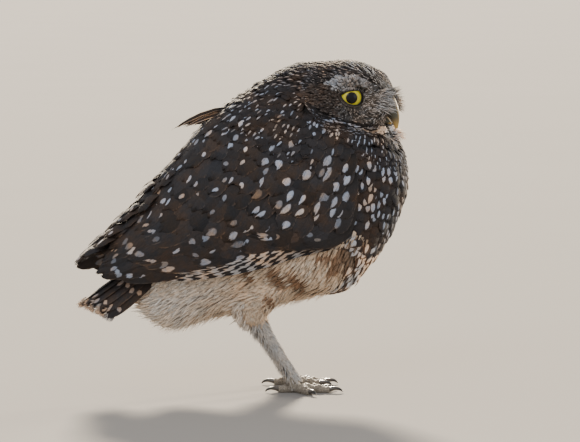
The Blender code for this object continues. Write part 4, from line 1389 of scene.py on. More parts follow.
def make_head_coats(fine, soft):
    crown = Coat("coat_head", soft)
    roots, direction = head_roots(2.0 * MM)
    turn, pitch = head_angles(direction)
    face_zone = (np.abs(turn) < 100) & (pitch < np.interp(np.abs(turn), (0, 30, 100), (20, 36, 38)))
    lay_head(crown, LEAF_DROP, ~face_zone, roots, direction, 6.6 * MM, 2.9 * MM, CROWN_DEPTH, 0.25 * MM)
    face = Coat("coat_face", fine)
    roots, direction = head_roots(1.05 * MM)
    turn, pitch = head_angles(direction)
    face_zone = (np.abs(turn) < 108) & (pitch < np.interp(np.abs(turn), (0, 30, 108), (26, 40, 42)))
    face_zone &= clear_of_eyes(roots, 0.9 * MM) & clear_of_bill(roots)
    face_zone &= pitch > face_rim(np.abs(turn)) - 1
    lay_head(face, LEAF, face_zone, roots, direction, 3.4 * MM, 1.2 * MM, FACE_DEPTH, 0.22 * MM, loose=0.18)
    lay_lid_feathers(face)
    lay_bristles(face)
    return crown, face


def lay_lid_feathers(coat):
    """Tiny feathers on the lids that lie away from the opening, darkest at its rim."""
    lifts = ((0, 0.8, 2.4, 4.6), (0.6, 1.05, 0.7, 0.3))
    for way in (-1, 1):
        look, rearward, up = eye_axes(way)
        number = LID_FEATHERS
        turns = draw.uniform(-math.pi, math.pi, number)
        start = 0.35 + 2.6 * draw.random(number)
        opening = lid_outline(turns)
        heading = unit(unit(opening) + draw.normal(0, 0.15, (number, 2)) + np.array((0.25, 0)))
        reach = LEAF.shares[None, :] * draw.uniform(1.2, 2.0, number)[:, None]
        flat = (opening + unit(opening) * start[:, None])[:, None] + heading[:, None] * reach[..., None]
        lift = np.interp(start[:, None] + reach, *lifts) + 0.1 + 0.3 * LEAF.shares
        depth = np.sqrt(np.maximum((EYE_RADIUS / MM + lift) ** 2 - np.sum(flat**2, axis=-1), 1.2**2))
        spine = eye_centre(way) + (flat[..., :1] * rearward + flat[..., 1:] * up + depth[..., None] * look) * MM
        buried = body_field.read(spine)[0] < 0.1 * MM
        spine = np.where(buried[..., None], body_field.settle(spine, 0.1 * MM), spine)
        ups = unit(spine - eye_centre(way))
        turn, pitch = head_angles(spine[:, -1] - HEAD_CENTRE)
        look_of = head_paint(turn, pitch)
        ahead = smooth((-opening[:, 0] - 2) / 3)
        dark = smooth((1.0 + 0.8 * ahead - start) / 0.9)[:, None]
        look_of["base"] = look_of["base"] * (1 - dark) + DARK * 0.55 * dark
        look_of["mark_place"][dark[:, 0] > 0.4, 0] = 9
        coat.lay(LEAF, spine, ups, 0.8 * MM, np.zeros(spine.shape[:2]), look_of,
                 head_chart(spine[:, 0] - HEAD_CENTRE), None, 0.15)


def from_angles(turn, pitch):
    """Unit direction from the head's centre at a turn and pitch in degrees."""
    turn = np.radians(turn)
    pitch = np.radians(pitch)
    local = np.stack([np.cos(pitch) * np.cos(turn), np.cos(pitch) * np.sin(turn), np.sin(pitch)], axis=-1)
    return from_head(local) - HEAD_CENTRE


def lay_collar(coat):
    """Narrow streaks that run back from the bill along the lines under the face."""
    direction = sphere_roots(0.95 * MM)
    turn, pitch = head_angles(direction)
    below = pitch - face_rim(np.abs(turn))
    keep = (np.abs(turn) < 106) & (below < 2) & (below > -22)
    turn, pitch, direction = turn[keep], pitch[keep], direction[keep]
    number = len(turn)
    roots = body_field.settle(HEAD_CENTRE + direction * 31 * MM)
    way = np.where(turn < 0, -1, 1)
    climb = face_rim(np.abs(turn) + 3) - face_rim(np.abs(turn))
    runs = unit(from_angles(turn + 3 * way, pitch + climb) - direction)
    runs = unit(runs + draw.normal(0, 0.06, (number, 3)))
    lengths = 6.0 * MM * draw.uniform(0.8, 1.2, number)
    spine, ups = march(body_field, roots, runs, lengths, LEAF)
    heights = rising(LEAF, FACE_DEPTH, 0.75 * MM * draw.uniform(0.5, 1.5, number), number)
    coat.lay(LEAF, spine, ups, 1.15 * MM, heights, head_paint(turn, pitch), head_chart(direction),
             body_field, 0.12, draw.normal(0, 0.1 * MM, number))


def lay_ruff(coat):
    """Feathers of the neck's sides, from close under the lines of the face down over the neck."""
    direction = sphere_roots(2.1 * MM)
    turn, pitch = head_angles(direction)
    below = pitch - face_rim(np.abs(turn))
    gap = np.interp(np.abs(turn), (14, 45, 70, 100), (12, 7.5, 5.5, 4.5))
    keep = (np.abs(turn) > 10) & (np.abs(turn) < 118) & (below < -gap) & (below > -36)
    direction, turn = direction[keep], turn[keep]
    roots = body_field.settle(HEAD_CENTRE + direction * 31 * MM)
    number = len(roots)
    runs = unit(np.array((-0.28, 0, -1.0)) + draw.normal(0, 0.10, (number, 3)))
    spine, ups = march(body_field, roots, runs, 7.2 * MM * draw.uniform(0.85, 1.15, number), ROUND)
    heights = rising(ROUND, 1.4 * MM, 0.6 * MM * draw.uniform(0.4, 1.6, number), number)
    side = smooth((np.abs(turn) - 40) / 30)
    look = bare(paint(number, DARK * 1.15, SPOT_WITH_SHADE_TINT * 1.1, centre=0.68, wide=0.17 + 0.22 * side,
                      tall=0.26 + 0.04 * side, spread=0.2, fade=0.4), 0.36 + 0.14 * side)
    coat.lay(ROUND, spine, ups, 4.2 * MM * draw.uniform(0.9, 1.1, number), heights, look,
             head_chart(direction), body_field, 0.1, draw.normal(0, 0.15 * MM, number))


def lay_throat(coat):
    """White feathers of the throat that stand out under the bill."""
    number = THROAT_FEATHERS
    scatter = draw.normal(0, 1, (number, 3)) * np.array((1.2, 4.0, 1.3)) * MM
    roots = body_field.settle(np.array(THROAT) + scatter, -0.5 * MM)
    station, angle = body_places(roots)
    side = np.sign(roots[:, 1])
    up = body_field.read(roots)[1]
    runs = unit(up * 0.35 + np.array((0.8, -0.10, -0.10)) + draw.normal(0, 0.24, (number, 3)))
    lengths = draw.uniform(4.0, 8.5, number) * MM
    shares = LEAF.shares[None, :, None]
    spine = roots[:, None] + runs[:, None] * (shares * lengths[:, None, None]) \
        - np.array((0, 0, 1.0)) * shares**2 * (lengths * 0.25)[:, None, None]
    ups = np.broadcast_to(unit(up + np.array((0, 0, 0.6)))[:, None], spine.shape)
    coat.lay(LEAF, spine, ups, 0.9 * MM * draw.uniform(0.6, 1.2, number), np.zeros(spine.shape[:2]),
             paint(number, WHITE * 0.95, spread=0.1), body_chart(station, angle, side), None, 0.2, fray=0.2)


def lay_bristles(coat):
    """Pale bristles that fan forward from the front of each eye over the root of the bill."""
    face, left, up = head_axes()
    for way in (-1, 1):
        number = BRISTLES
        turn = np.radians(way * draw.uniform(9, 36, number))
        pitch = np.radians(draw.uniform(-6, 17, number))
        direction = (np.cos(pitch) * np.cos(turn))[:, None] * face \
            + (np.cos(pitch) * np.sin(turn))[:, None] * left + np.sin(pitch)[:, None] * up
        roots = HEAD_CENTRE + direction * (head_radius(direction) - 0.6 * MM)[:, None]
        rise = ((pitch - math.radians(9)) / math.radians(15))[:, None]
        runs = unit(face * 1.0 - left * way * 0.20 + up * rise * 0.22 + direction * 0.14
                    + draw.normal(0, 0.08, (number, 3)))
        lengths = draw.uniform(3.0, 6.6, number) * MM
        shares = STRAND.shares[None, :, None]
        bow = up * (shares**2) * (lengths * 0.18)[:, None, None] * np.sign(rise)[:, None]
        spine = roots[:, None] + runs[:, None] * (shares * lengths[:, None, None]) + bow
        ups = np.broadcast_to(unit(left * way * 0.8 + up * 0.5), spine.shape)
        tone = np.where((draw.random(number) < 0.25)[:, None], GREY * 0.4, WHITE * 0.82)
        coat.lay(STRAND, spine, ups, 0.22 * MM, np.zeros(spine.shape[:2]), paint(number, tone),
                 head_chart(direction), None, 0.3)
    number = CHIN_FEATHERS
    turn = np.radians(draw.uniform(-17, 17, number))
    pitch = np.radians(draw.uniform(-44, -26, number))
    direction = (np.cos(pitch) * np.cos(turn))[:, None] * face \
        + (np.cos(pitch) * np.sin(turn))[:, None] * left + np.sin(pitch)[:, None] * up
    roots = HEAD_CENTRE + direction * (head_radius(direction) - 0.8 * MM)[:, None]
    runs = unit(face * 0.40 - up * 0.9 + left * (np.sin(turn) * 1.0)[:, None]
                + draw.normal(0, 0.22, (number, 3)))
    lengths = draw.uniform(2.6, 4.6, number) * MM
    shares = LEAF.shares[None, :, None]
    spine = roots[:, None] + runs[:, None] * (shares * lengths[:, None, None]) \
        - up * (shares**2) * (lengths * 0.15)[:, None, None]
    ups = np.broadcast_to(direction[:, None], spine.shape)
    coat.lay(LEAF, spine, ups, 1.0 * MM, np.zeros(spine.shape[:2]), paint(number, WHITE * 0.8, spread=0.1),
             head_chart(direction), None, 0.15)


# Coats of the body
def lay_body(coat, rows, field, shape, places, look, length, width, sink, rise, swing=0.0, camber=0.1,
             tilt=0.25 * MM, loose=0.10, bend=0.75, fray=0.1):
    station, angle, side = places
    number = len(station)
    roots = surface(rows, station, angle, side)
    runs = unit(run_of(rows, station, angle, side, swing) + draw.normal(0, loose, (number, 3)))
    lengths = length * draw.uniform(0.88, 1.12, number)
    spine, ups = march(field, roots, runs, lengths, shape, draw.normal(0, 0.2, number))
    heights = rising(shape, sink, rise * draw.uniform(0.2, 1.8, number), number, bend)
    ruffled = (draw.random(number) < 0.16) * draw.uniform(0.5, 1.5, number) * MM
    heights = heights + ruffled[:, None] * shape.shares**3
    coat.lay(shape, spine, ups, width * draw.uniform(0.9, 1.1, number), heights, look,
             body_chart(station, angle, side), field, camber, tilt * side, fray=fray)


def lay_tufts(coat, field, roots, runs, length, width, sink, rise, tone, chart, strands=6, fan=0.34):
    """Soft tufts of narrow strands that part toward their tips, coloured by where the tips lie."""
    number = len(roots)
    up = field.read(field.settle(roots))[1]
    side = unit(np.cross(up, runs))
    for strand in range(strands):
        share = (strand + 0.5) / strands * 2 - 1
        turned = unit(runs + side * (share * fan) + draw.normal(0, 0.07, (number, 3)))
        start = roots + side * (share * width * 0.28)
        lengths = length * draw.uniform(0.75, 1.1, number) * (1 - 0.18 * abs(share))
        spine, ups = march(field, start, turned, lengths, STRAND, -share * 0.3)
        heights = rising(STRAND, sink, rise * draw.uniform(0.3, 1.7, number), number, 1.0)
        look = paint(number, tone(spine[:, 2]), spread=0.05)
        coat.lay(STRAND, spine, ups, width / strands * 1.9, heights, look, chart, field, 0.25)


def make_breast(material):
    coat = Coat("coat_breast", material)
    places = grid_roots(TRUNK, 1.75, 3.7, -90, 92, 2.2 * MM, 2.9 * MM)
    places = places[:, (places[0] > 2.05) | (places[1] < 0)]
    turn, pitch = head_angles(surface(TRUNK, *places) - HEAD_CENTRE)
    turn = np.abs(turn)
    places = places[:, (turn > 104) | (pitch < face_rim(turn) - 10)]
    lay_body(coat, TRUNK, body_field, ROUND, places, neck_paint(places[1]), 7.5 * MM, 4.0 * MM,
             2.2 * MM, 0.3 * MM)
    lay_collar(coat)
    lay_ruff(coat)
    lay_throat(coat)
    places = grid_roots(TRUNK, 3.4, 6.4, -90, 20, 4.2 * MM, 4.6 * MM)
    lay_body(coat, TRUNK, body_field, ROUND, places, breast_paint(*places[:2]), 12 * MM, 7.0 * MM,
             BODY_DEPTH, 0.5 * MM)
    places = grid_roots(TRUNK, 6.0, 9.6, -90, ((6.0, 6.6, 7.4, 8.6, 9.7), (-52, -56, -61, -69, -77)),
                        4.2 * MM, 4.4 * MM)
    lay_body(coat, TRUNK, body_field, LEAF_DROP, places, breast_paint(*places[:2]), 16 * MM, 7.2 * MM,
             BODY_DEPTH, 0.8 * MM, bend=0.85)
    return coat


def make_belly(material):
    coat = Coat("coat_belly", material)
    places = grid_roots(TRUNK, 5.8, 12.9, ((5.8, 6.6, 7.6, 8.8, 9.9, 12.9), (-50, -55, -64, -74, -90, -90)),
                        ((6.6, 8, 10.5, 13), (6, 20, 30, 60)), 4.2 * MM, 4.8 * MM)
    station, angle, side = places
    roots = surface(TRUNK, station, angle, side)
    lay_tufts(coat, body_field, roots, run_of(TRUNK, station, angle, side), 13 * MM, 6.6 * MM,
              BODY_DEPTH, 1.3 * MM, lambda tips: flank_tone(tips, side), body_chart(station, angle, side))
    for leg in (-1, 1):
        roots = []
        for share in np.linspace(0.25, 4.4, 20):
            index = int(share)
            x, z, long_half, wide_half = THIGH[index] + (THIGH[index + 1] - THIGH[index]) * (share - index)
            count = max(int(2 * math.pi * (long_half + wide_half) / 2 / (3.0 * MM)), 8)
            turns = (np.arange(count) + draw.random()) * 2 * math.pi / count
            ring = np.stack([x + long_half * np.cos(turns), wide_half * np.sin(turns), np.full(count, z)], axis=1)
            roots.append(ring + leg_shift(leg))
        roots = np.concatenate(roots)
        roots = roots[np.abs(body_field.read(roots)[0]) < 1.5 * MM]
        number = len(roots)
        runs = np.broadcast_to(unit(np.array((-0.10, 0, -1.0))), (number, 3))
        place = body_places(roots)
        lengths = (8.0 - 4.0 * smooth((50 * MM - roots[:, 2]) / (8 * MM))) * MM
        lay_tufts(coat, body_field, roots, runs, lengths, 4.6 * MM, 2.0 * MM, 0.7 * MM,
                  lambda tips: flank_tone(tips, leg), body_chart(place[0], place[1], leg))
    return coat


def lay_fringe(coat, roots, runs, away, low, high, side, tone):
    """Loose soft strands that leave the coat and show along its outline."""
    number = len(roots)
    up = body_field.read(roots)[1]
    lengths = draw.uniform(low, high, number) * MM
    heading = unit(runs + up * away + draw.normal(0, 0.13, (number, 3)))
    shares = STRAND.shares[None, :, None]
    drop = np.array((0, 0, 1.0)) * (lengths * 0.12)[:, None, None] * shares**2
    spine = roots[:, None] + heading[:, None] * shares * lengths[:, None, None] - drop
    ups = np.broadcast_to(up[:, None], spine.shape)
    station, angle = body_places(roots)
    coat.lay(STRAND, spine, ups, 0.9 * MM, np.zeros(spine.shape[:2]), paint(number, tone, spread=0.08),
             body_chart(station, angle, side), None, 0.25, fray=0.2)


def make_fringe(material):
    """Fluff under the vent and down the back of each thigh."""
    coat = Coat("coat_fringe", material)
    station, angle, side = grid_roots(TRUNK, 8.6, 13.0, -90, ((8.6, 10, 13), (-58, -42, 20)), 2.1 * MM, 2.1 * MM)
    roots = body_field.settle(surface(TRUNK, station, angle, side), 0.4 * MM)
    runs = run_of(TRUNK, station, angle, side)
    lay_fringe(coat, roots, runs, 0.36, 5.0, 9.5, side, flank_tone(roots, side) * 1.05)
    for leg in (-1, 1):
        number = THIGH_STRANDS
        share = draw.uniform(1.6, 4.7, number)
        index = share.astype(int)
        x, z, long_half, wide_half = (THIGH[index] + (THIGH[index + 1] - THIGH[index])
                                      * (share - index)[:, None]).T
        turns = draw.uniform(0.68, 1.32, number) * math.pi
        roots = np.stack([x + long_half * np.cos(turns), wide_half * np.sin(turns), z], axis=1) + leg_shift(leg)
        runs = np.broadcast_to(unit(np.array((-0.25, 0, -1.0))), (number, 3))
        lay_fringe(coat, roots, runs, 0.45, 2.5, 5.0, leg, (WHITE + CREAM) / 2)
    return coat


def make_back(material):
    """Mantle and scapulars over the top of the folded wings, from the nape to the rump."""
    coat = Coat("coat_back", material)
    places = grid_roots(CLOAK, 2.2, 4.4, ((2.2, 2.9, 4.4), (46, 10, -6)), 92, 3.4 * MM, 4.0 * MM)
    look = bare(paint(places.shape[1], DARK, SPOT_WITH_SHADE_TINT * 0.95, centre=0.70, wide=0.20, tall=0.22, fade=0.6), 0.48)
    lay_body(coat, CLOAK, cloak_field, ROUND, places, look, 11 * MM, 6.0 * MM, 2.4 * MM, 0.4 * MM, fray=0.16)
    places = grid_roots(CLOAK, 4.0, 11.2, 66, 92, 5.2 * MM, 4.6 * MM, 0.3)
    number = places.shape[1]
    web = draw.choice((-1, 0, 1), number)
    look = bare(paint(number, DARK, SPOT_WITH_SHADE_TINT * 0.85, centre=0.80, offset=0.42, web=web, wide=0.24, tall=0.10), 0.55)
    fuller = smooth((places[0] - 5) / 3)
    lay_body(coat, CLOAK, cloak_field, COVERT, places, look, 20 * MM, 8.2 * MM, 2.6 * MM,
             (0.35 + 2.1 * fuller) * MM, camber=0.07, loose=0.15, fray=0.17)
    places = grid_roots(TRUNK, 8.4, 12.6, 35, 92, 4.5 * MM, 4.5 * MM)
    look = bare(paint(places.shape[1], BROWN * 0.8, BUFF * 0.8, centre=0.80, wide=0.5, tall=0.10), 0.5)
    lay_body(coat, TRUNK, body_field, ROUND, places, look, 16 * MM, 8.0 * MM, 2.6 * MM, 0.6 * MM)
    lay_wisps(coat)
    return coat


# Loose lock on the upper back, seen from the side in mm: its root, two points that it bends
# toward, and its tip
WISP_PATH = ((-2, 170.5), (-16, 170.5), (-28, 165), (-40, 157.5))
WISP_SIDE = (-10, 3)
WISP_COUNT = 18


def lay_wisps(coat):
    """A lock of loose feathers that lifts off the upper back and narrows to one point."""
    path = np.array(WISP_PATH) * MM
    shares = LEAF_DROP.shares[:, None]
    for index in range(WISP_COUNT):
        rank = index / (WISP_COUNT - 1)
        reach = 1 - 0.5 * rank + draw.uniform(-0.05, 0.05)
        part = 0.12 + (reach - 0.12) * shares
        curve = (1 - part) ** 3 * path[0] + 3 * (1 - part) ** 2 * part * path[1] \
            + 3 * (1 - part) * part**2 * path[2] + part**3 * path[3]
        side = WISP_SIDE[0] + (WISP_SIDE[1] - WISP_SIDE[0]) * (index * 0.382 % 1)
        gather = side * (1 - 0.75 * part[:, 0]) - 2.5
        fall = (6.8 * rank + draw.uniform(-0.4, 0.4)) * MM
        spine = np.stack([curve[:, 0], gather * MM, curve[:, 1] - fall], axis=1)[None]
        ups = np.broadcast_to(unit(np.array((0.25, -0.75, 0.6))), spine.shape)
        look = paint(1, DARK, (WHITE + BUFF) / 2 * 0.8, centre=0.70, offset=1.0, wide=0.22, tall=0.7)
        coat.lay(LEAF_DROP, spine, ups, (2.6 - 0.9 * (index % 2)) * MM, np.zeros(spine.shape[:2]), look,
                 body_chart(np.array([3.6 + 0.05 * index]), np.array([85]), np.array([-1])), None, 0.10)


# Wings
WING_FRONT = 4.3
WING_REAR = 11.5
WING_TOP = 85
WING_EDGE_STATIONS = (4.5, 5.5, 6.4, 6.8, 7.3, 7.9, 8.5, 9.2, 9.9, 10.7, 11.5, 12.4, 13.4)
WING_EDGE_ANGLES = (-30, -40, -44, -38, -26, -18, -15.5, -11, -7.5, -3.5, -1, 4, 8)
EDGE_CLEAR = (1, 2, 7, 11, 15, 16, 16, 16, 15, 12, 9, 8, 8)
TIP_LIFT = 5 * MM


def wing_edge(station):
    return np.interp(station, WING_EDGE_STATIONS, WING_EDGE_ANGLES)


def wing_chart(station, angle):
    """Place on the unwrap of one wing."""
    return np.stack([0.05 + 0.9 * (angle + 45) / 140, 0.05 + 0.9 * (station - 3) / 9.5], axis=1)


def flight_look(number, kind, angle=0.0):
    """Marks by kind of feather: drops on coverts, large ones low in front, rows of blocks on quills."""
    web = draw.choice((-1, 1), number)
    low = smooth((30 - angle) / 35)
    if kind == "covert":
        return bare(paint(number, DARK * 1.1, SPOT_WITH_SHADE_TINT * 1.05, centre=0.84, offset=0.28, web=web,
                          wide=0.26 + 0.08 * low, tall=0.09 + 0.06 * low, spread=0.2, fade=0.75),
                    0.50 - 0.20 * low)
    if kind == "median":
        return bare(paint(number, DARK * 1.1, SPOT_WITH_SHADE_TINT * 1.2, centre=0.80, offset=0.24, web=web,
                          wide=0.29 + 0.10 * low, tall=0.14 + 0.07 * low, spread=0.2, fade=0.6),
                    0.50 - 0.24 * low)
    if kind == "lesser":
        return bare(paint(number, DARK, SPOT_WITH_SHADE_TINT * 0.9, centre=0.76, offset=0.12, web=web, wide=0.22, tall=0.16,
                          spread=0.2, fade=0.4), 0.58)
    if kind == "secondary":
        return bare(paint(number, DARK * 1.1, SPOT_WITH_SHADE_TINT * 0.8, centre=0.84, offset=0.50, wide=0.30, tall=0.042,
                          period=0.33, fade=0.65), 0.25)
    return bare(paint(number, DARK, SPOT_WITH_SHADE_TINT * 0.75, centre=0.79, offset=0.50, wide=0.32, tall=0.04,
                      period=0.33, fade=0.65), 0.2)


# Each row of quills: kind, count, root station, lower and upper root angle, tip station at the
# ends and the middle, lower and upper tip angle, width, sink and rise in mm
WING_TIERS = (
    ("primary", 9, 8.9, -2, 50, 11.75, 12.35, 7, 44, 10.0, 2.2, -0.2),
    ("secondary", 12, 7.6, -6, 80, 10.7, 11.3, 12, 80, 12.5, 2.2, 0.0),
    ("secondary", 10, 7.0, -14, 80, 9.7, 10.2, 8, 80, 12.5, 2.1, 0.2),
)

# Barred quills along the lower edge, outermost last in height: root and tip station, degrees
# above the edge, and rise in mm. Their bars are at one distance, whatever the length.
EDGE_QUILLS = (
    (6.3, 11.3, 1.6, -0.7),
    (6.2, 10.9, 3.7, -0.4),
    (6.1, 10.4, 5.8, -0.1),
    (6.0, 9.9, 7.9, 0.2),
    (5.9, 9.3, 10.0, 0.4),
)
EDGE_WIDTH = 4.4
BAR_PERIOD = 10.2 * MM

# Each field of coverts: kind, stations, upper angle, spacing along and across, length and width
# in mm, and rise in mm
WING_COVERTS = (
    ("covert", 6.3, 7.9, 82, 10.0, 8.5, 27, 13.0, 0.45),
    ("covert", 4.7, 6.4, 82, 9.0, 8.0, 24, 12.0, 0.5),
    ("median", 3.4, 4.8, 80, 7.0, 7.0, 18, 10.5, 0.5),
    ("lesser", 2.75, 3.5, 78, 4.6, 5.0, 12, 7.5, 0.45),
)


def wing_core(side):
    """The flesh of the folded wing, a shell that the feathers root in, as one closed grid."""
    stations = np.linspace(WING_FRONT, WING_REAR, 30)
    rings = []
    for station in stations:
        low = float(wing_edge(station)) + 3
        angles = np.linspace(low, WING_TOP, 22)
        depth = (6.0 - 3.4 * smooth((station - 8.5) / 3.6)) * MM
        outer = surface(CLOAK, station, angles, side)
        slope = cloak_field.read(outer)[1]
        rings.append(np.vstack([outer - slope * 1.9 * MM, (outer - slope * depth)[::-1]]))
    return np.array(rings)


def add_core(coat, rings):
    """The shell joined into a coat, plain and dark."""
    points, faces = grid_mesh(rings)
    triangles = []
    for face in faces:
        triangles.append(face[:3])
        if len(face) == 4:
            triangles.append((face[0], face[2], face[3]))
    triangles = np.array(triangles)
    centre = points.mean(axis=0)
    a, b, c = (points[triangles[:, corner]] for corner in range(3))
    volume = dot(np.cross(a - centre, b - centre), c - centre).sum()
    if volume < 0:
        triangles = triangles[:, ::-1]
    number = len(points)
    coat.points.append(points)
    coat.faces.append(triangles + coat.count)
    coat.count += number
    coat.values["lie"].append(np.tile((0.5, 0.7, 0.5), (number, 1)))
    coat.values["mark_place"].append(np.tile((9.0, 0, 0), (number, 1)))
    coat.values["mark_size"].append(np.tile((0.1, 0.1, 99.0), (number, 1)))
    coat.values["base"].append(np.tile(DARK, (number, 1)))
    coat.values["mark"].append(np.tile(DARK, (number, 1)))
    coat.charts.append(np.tile((0.01, 0.01), (number, 1)) + draw.uniform(0, 0.004, (number, 2)))


def lay_quills(coat, side, reach, raised):
    """The long feathers of the folded wing, row over row."""
    for root_at, end_at, above, rise in EDGE_QUILLS:
        stations = root_at + (end_at - root_at) * FLIGHT.shares[None]
        angles = wing_edge(stations) + above
        reach_of = np.linalg.norm(np.diff(surface(CLOAK, stations[0], angles[0]), axis=0), axis=1).sum()
        period = BAR_PERIOD / reach_of
        look = paint(1, DARK * 0.9, (WHITE * 1.3 + BUFF * 0.7) / 2 * 0.8, centre=draw.uniform(0.1, 0.2),
                     web=side, wide=9, tall=0.25 * period, period=period, spread=0.05, fade=0.0)
        lay_wing_rows(coat, side, FLIGHT, stations, angles, EDGE_WIDTH, 2.2, rise, look, 0.35)
    for kind, count, root_at, root_low, root_high, end_at, middle_at, tip_low, tip_high, width, sink, rise \
            in WING_TIERS:
        share = np.linspace(0, 1, count)
        far = np.interp(share, (0, 0.45, 1), (end_at, middle_at, end_at)) + draw.uniform(-0.09, 0.09, count)
        tip_angle = tip_low + (tip_high - tip_low) * share + draw.uniform(-1.2, 1.2, count)
        shape = FLIGHT
        look = flight_look(count, kind)
        if kind == "primary":
            far = far + reach
            tip_angle = tip_angle + raised
        root_angle = root_low + (root_high - root_low) * share
        root_station = root_at + draw.uniform(-0.08, 0.08, count)
        stations = root_station[:, None] + (far - root_station)[:, None] * shape.shares
        angles = root_angle[:, None] + (tip_angle - root_angle)[:, None] * shape.shares
        lifted = TIP_LIFT if raised and kind == "primary" else 0
        lay_wing_rows(coat, side, shape, stations, angles, width, sink, rise, look, 0.5, lifted)


def lay_wing_rows(coat, side, shape, stations, angles, width, sink, rise, look, tilt, lifted=0.0, fray=0.1):
    number = len(stations)
    spine = cloak_field.settle(surface(CLOAK, stations, angles, side))
    ups = cloak_field.read(spine)[1]
    heights = rising(shape, sink * MM, rise * MM * draw.uniform(0.6, 1.3, number), number)
    heights = heights + lifted * smooth(shape.shares * 1.5 - 0.5)
    coat.lay(shape, spine, ups, width * MM * draw.uniform(0.94, 1.06, number), heights, look,
             wing_chart(stations[:, 0], angles[:, 0]), cloak_field, 0.05, tilt * MM * side, FLIGHT_PATCH,
             fray)


def lay_coverts(coat, side):
    """Coverts in staggered rows, held above the wing's lower edge."""
    for kind, first, last, high, along, across, length, width, rise in WING_COVERTS:
        clear = tuple(np.array(WING_EDGE_ANGLES) + np.array(EDGE_CLEAR))
        low = ((2.7, 3.4) + WING_EDGE_STATIONS, (8, -22) + clear)
        station, angle, _ = grid_roots(CLOAK, first, last, low, high, along * MM, across * MM, 0.15, (side,))
        number = len(station)
        pace = np.linalg.norm(surface(CLOAK, station + 0.1, angle) - surface(CLOAK, station, angle), axis=1) / 0.1
        reach = length * MM / pace * draw.uniform(0.92, 1.08, number)
        stations = station[:, None] + reach[:, None] * COVERT.shares
        drift = draw.normal(0, 1.6, number)[:, None] * COVERT.shares
        edge = np.interp(stations, *low) + 1
        angles = angle[:, None] + drift
        over = np.maximum(edge - angles, -12) + 12
        angles = angles + over**2 / 48 * (over > 0)
        look = flight_look(number, kind, angle)
        look["mark_size"][over.max(axis=1) > 14, :2] *= (0.85, 0.42)
        lay_wing_rows(coat, side, COVERT, stations, angles, width, 2.1, rise, look, 0.28, fray=0.15)


def make_wing(name, side, reach, raised, material):
    coat = Coat(name, material)
    add_core(coat, wing_core(side))
    lay_quills(coat, side, reach, raised)
    lay_coverts(coat, side)
    return coat


# Tail
def tail_arch(place, lift=0.0):
    """Points of the tail's arched section, from -1 at its right edge over 0 at its top to 1."""
    turn = np.radians(90 - 104 * place)
    up = np.array((-math.sin(TAIL_SLOPE), 0, math.cos(TAIL_SLOPE)))
    side = (TAIL_HALF_WIDTH + lift) * np.cos(turn)
    rise = (TAIL_RISE + lift) * np.sin(turn)
    return side[..., None] * np.array((0, 1.0, 0)) + rise[..., None] * up


def make_tail(material):
    """Twelve quills on the tail's arch, each with rows of pale blocks and a soft pale tip."""
    coat = Coat("tail_feathers", material)
    along = np.array((-math.cos(TAIL_SLOPE), 0, -math.sin(TAIL_SLOPE)))
    shares = FLIGHT.shares
    start = 4 * MM
    for index in range(TAIL_VANES):
        place = (index + 0.5) / TAIL_VANES * 2 - 1
        way = 1 if place > 0 else -1
        length = TAIL_LENGTH - 12 * MM * abs(place) ** 1.5 + draw.uniform(-0.8, 0.8) * MM
        ahead = start + (length - start) * shares
        arch = tail_arch(place * (0.8 + 0.2 * shares))
        spine = (TAIL_ROOT + along * ahead[:, None] + arch)[None]
        ups = unit(arch)[None]
        look = paint(1, DARK * 1.15, (SPOT_WITH_SHADE_TINT + BUFF) / 2 * 0.85, centre=0.86, offset=0.42, wide=0.34, tall=0.04,
                     period=0.36)
        chart = np.array([(0.1 + 0.8 * (place + 1) / 2, 0.3)])
        coat.lay(FLIGHT, spine, ups, np.array([10.5 * MM]), np.full((1, len(shares)), -0.1 * MM), look, chart,
                 None, 0.05, 0.9 * MM * way, FLIGHT_PATCH)
        lay_tip_fringe(coat, spine[0, -3:], unit(arch[-1]), along, chart)
    return coat


def lay_tip_fringe(coat, ends, up, along, chart):
    """Soft pale barbs at the end of a quill."""
    across = unit(np.cross(up, along))
    number = TIP_BARBS
    place = draw.uniform(-1, 1, number)
    back = 1.2 * MM + 3.4 * MM * place**2
    roots = ends[-1] - along * back[:, None] + across * (place * 3.6 * MM)[:, None] \
        + up * draw.uniform(-0.25, 0.25, number)[:, None] * MM
    runs = unit(along + across * (place * 0.5)[:, None] + draw.normal(0, 0.10, (number, 3)))
    lengths = draw.uniform(1.8, 3.6, number) * MM
    spine = roots[:, None] + runs[:, None] * (STRAND.shares[None, :, None] * lengths[:, None, None])
    ups = np.broadcast_to(up, spine.shape)
    coat.lay(STRAND, spine, ups, 0.38 * MM, np.zeros(spine.shape[:2]),
             paint(number, (WHITE + BUFF) / 2 * 0.75, spread=0.2), np.broadcast_to(chart, (number, 2)), None, 0.2)


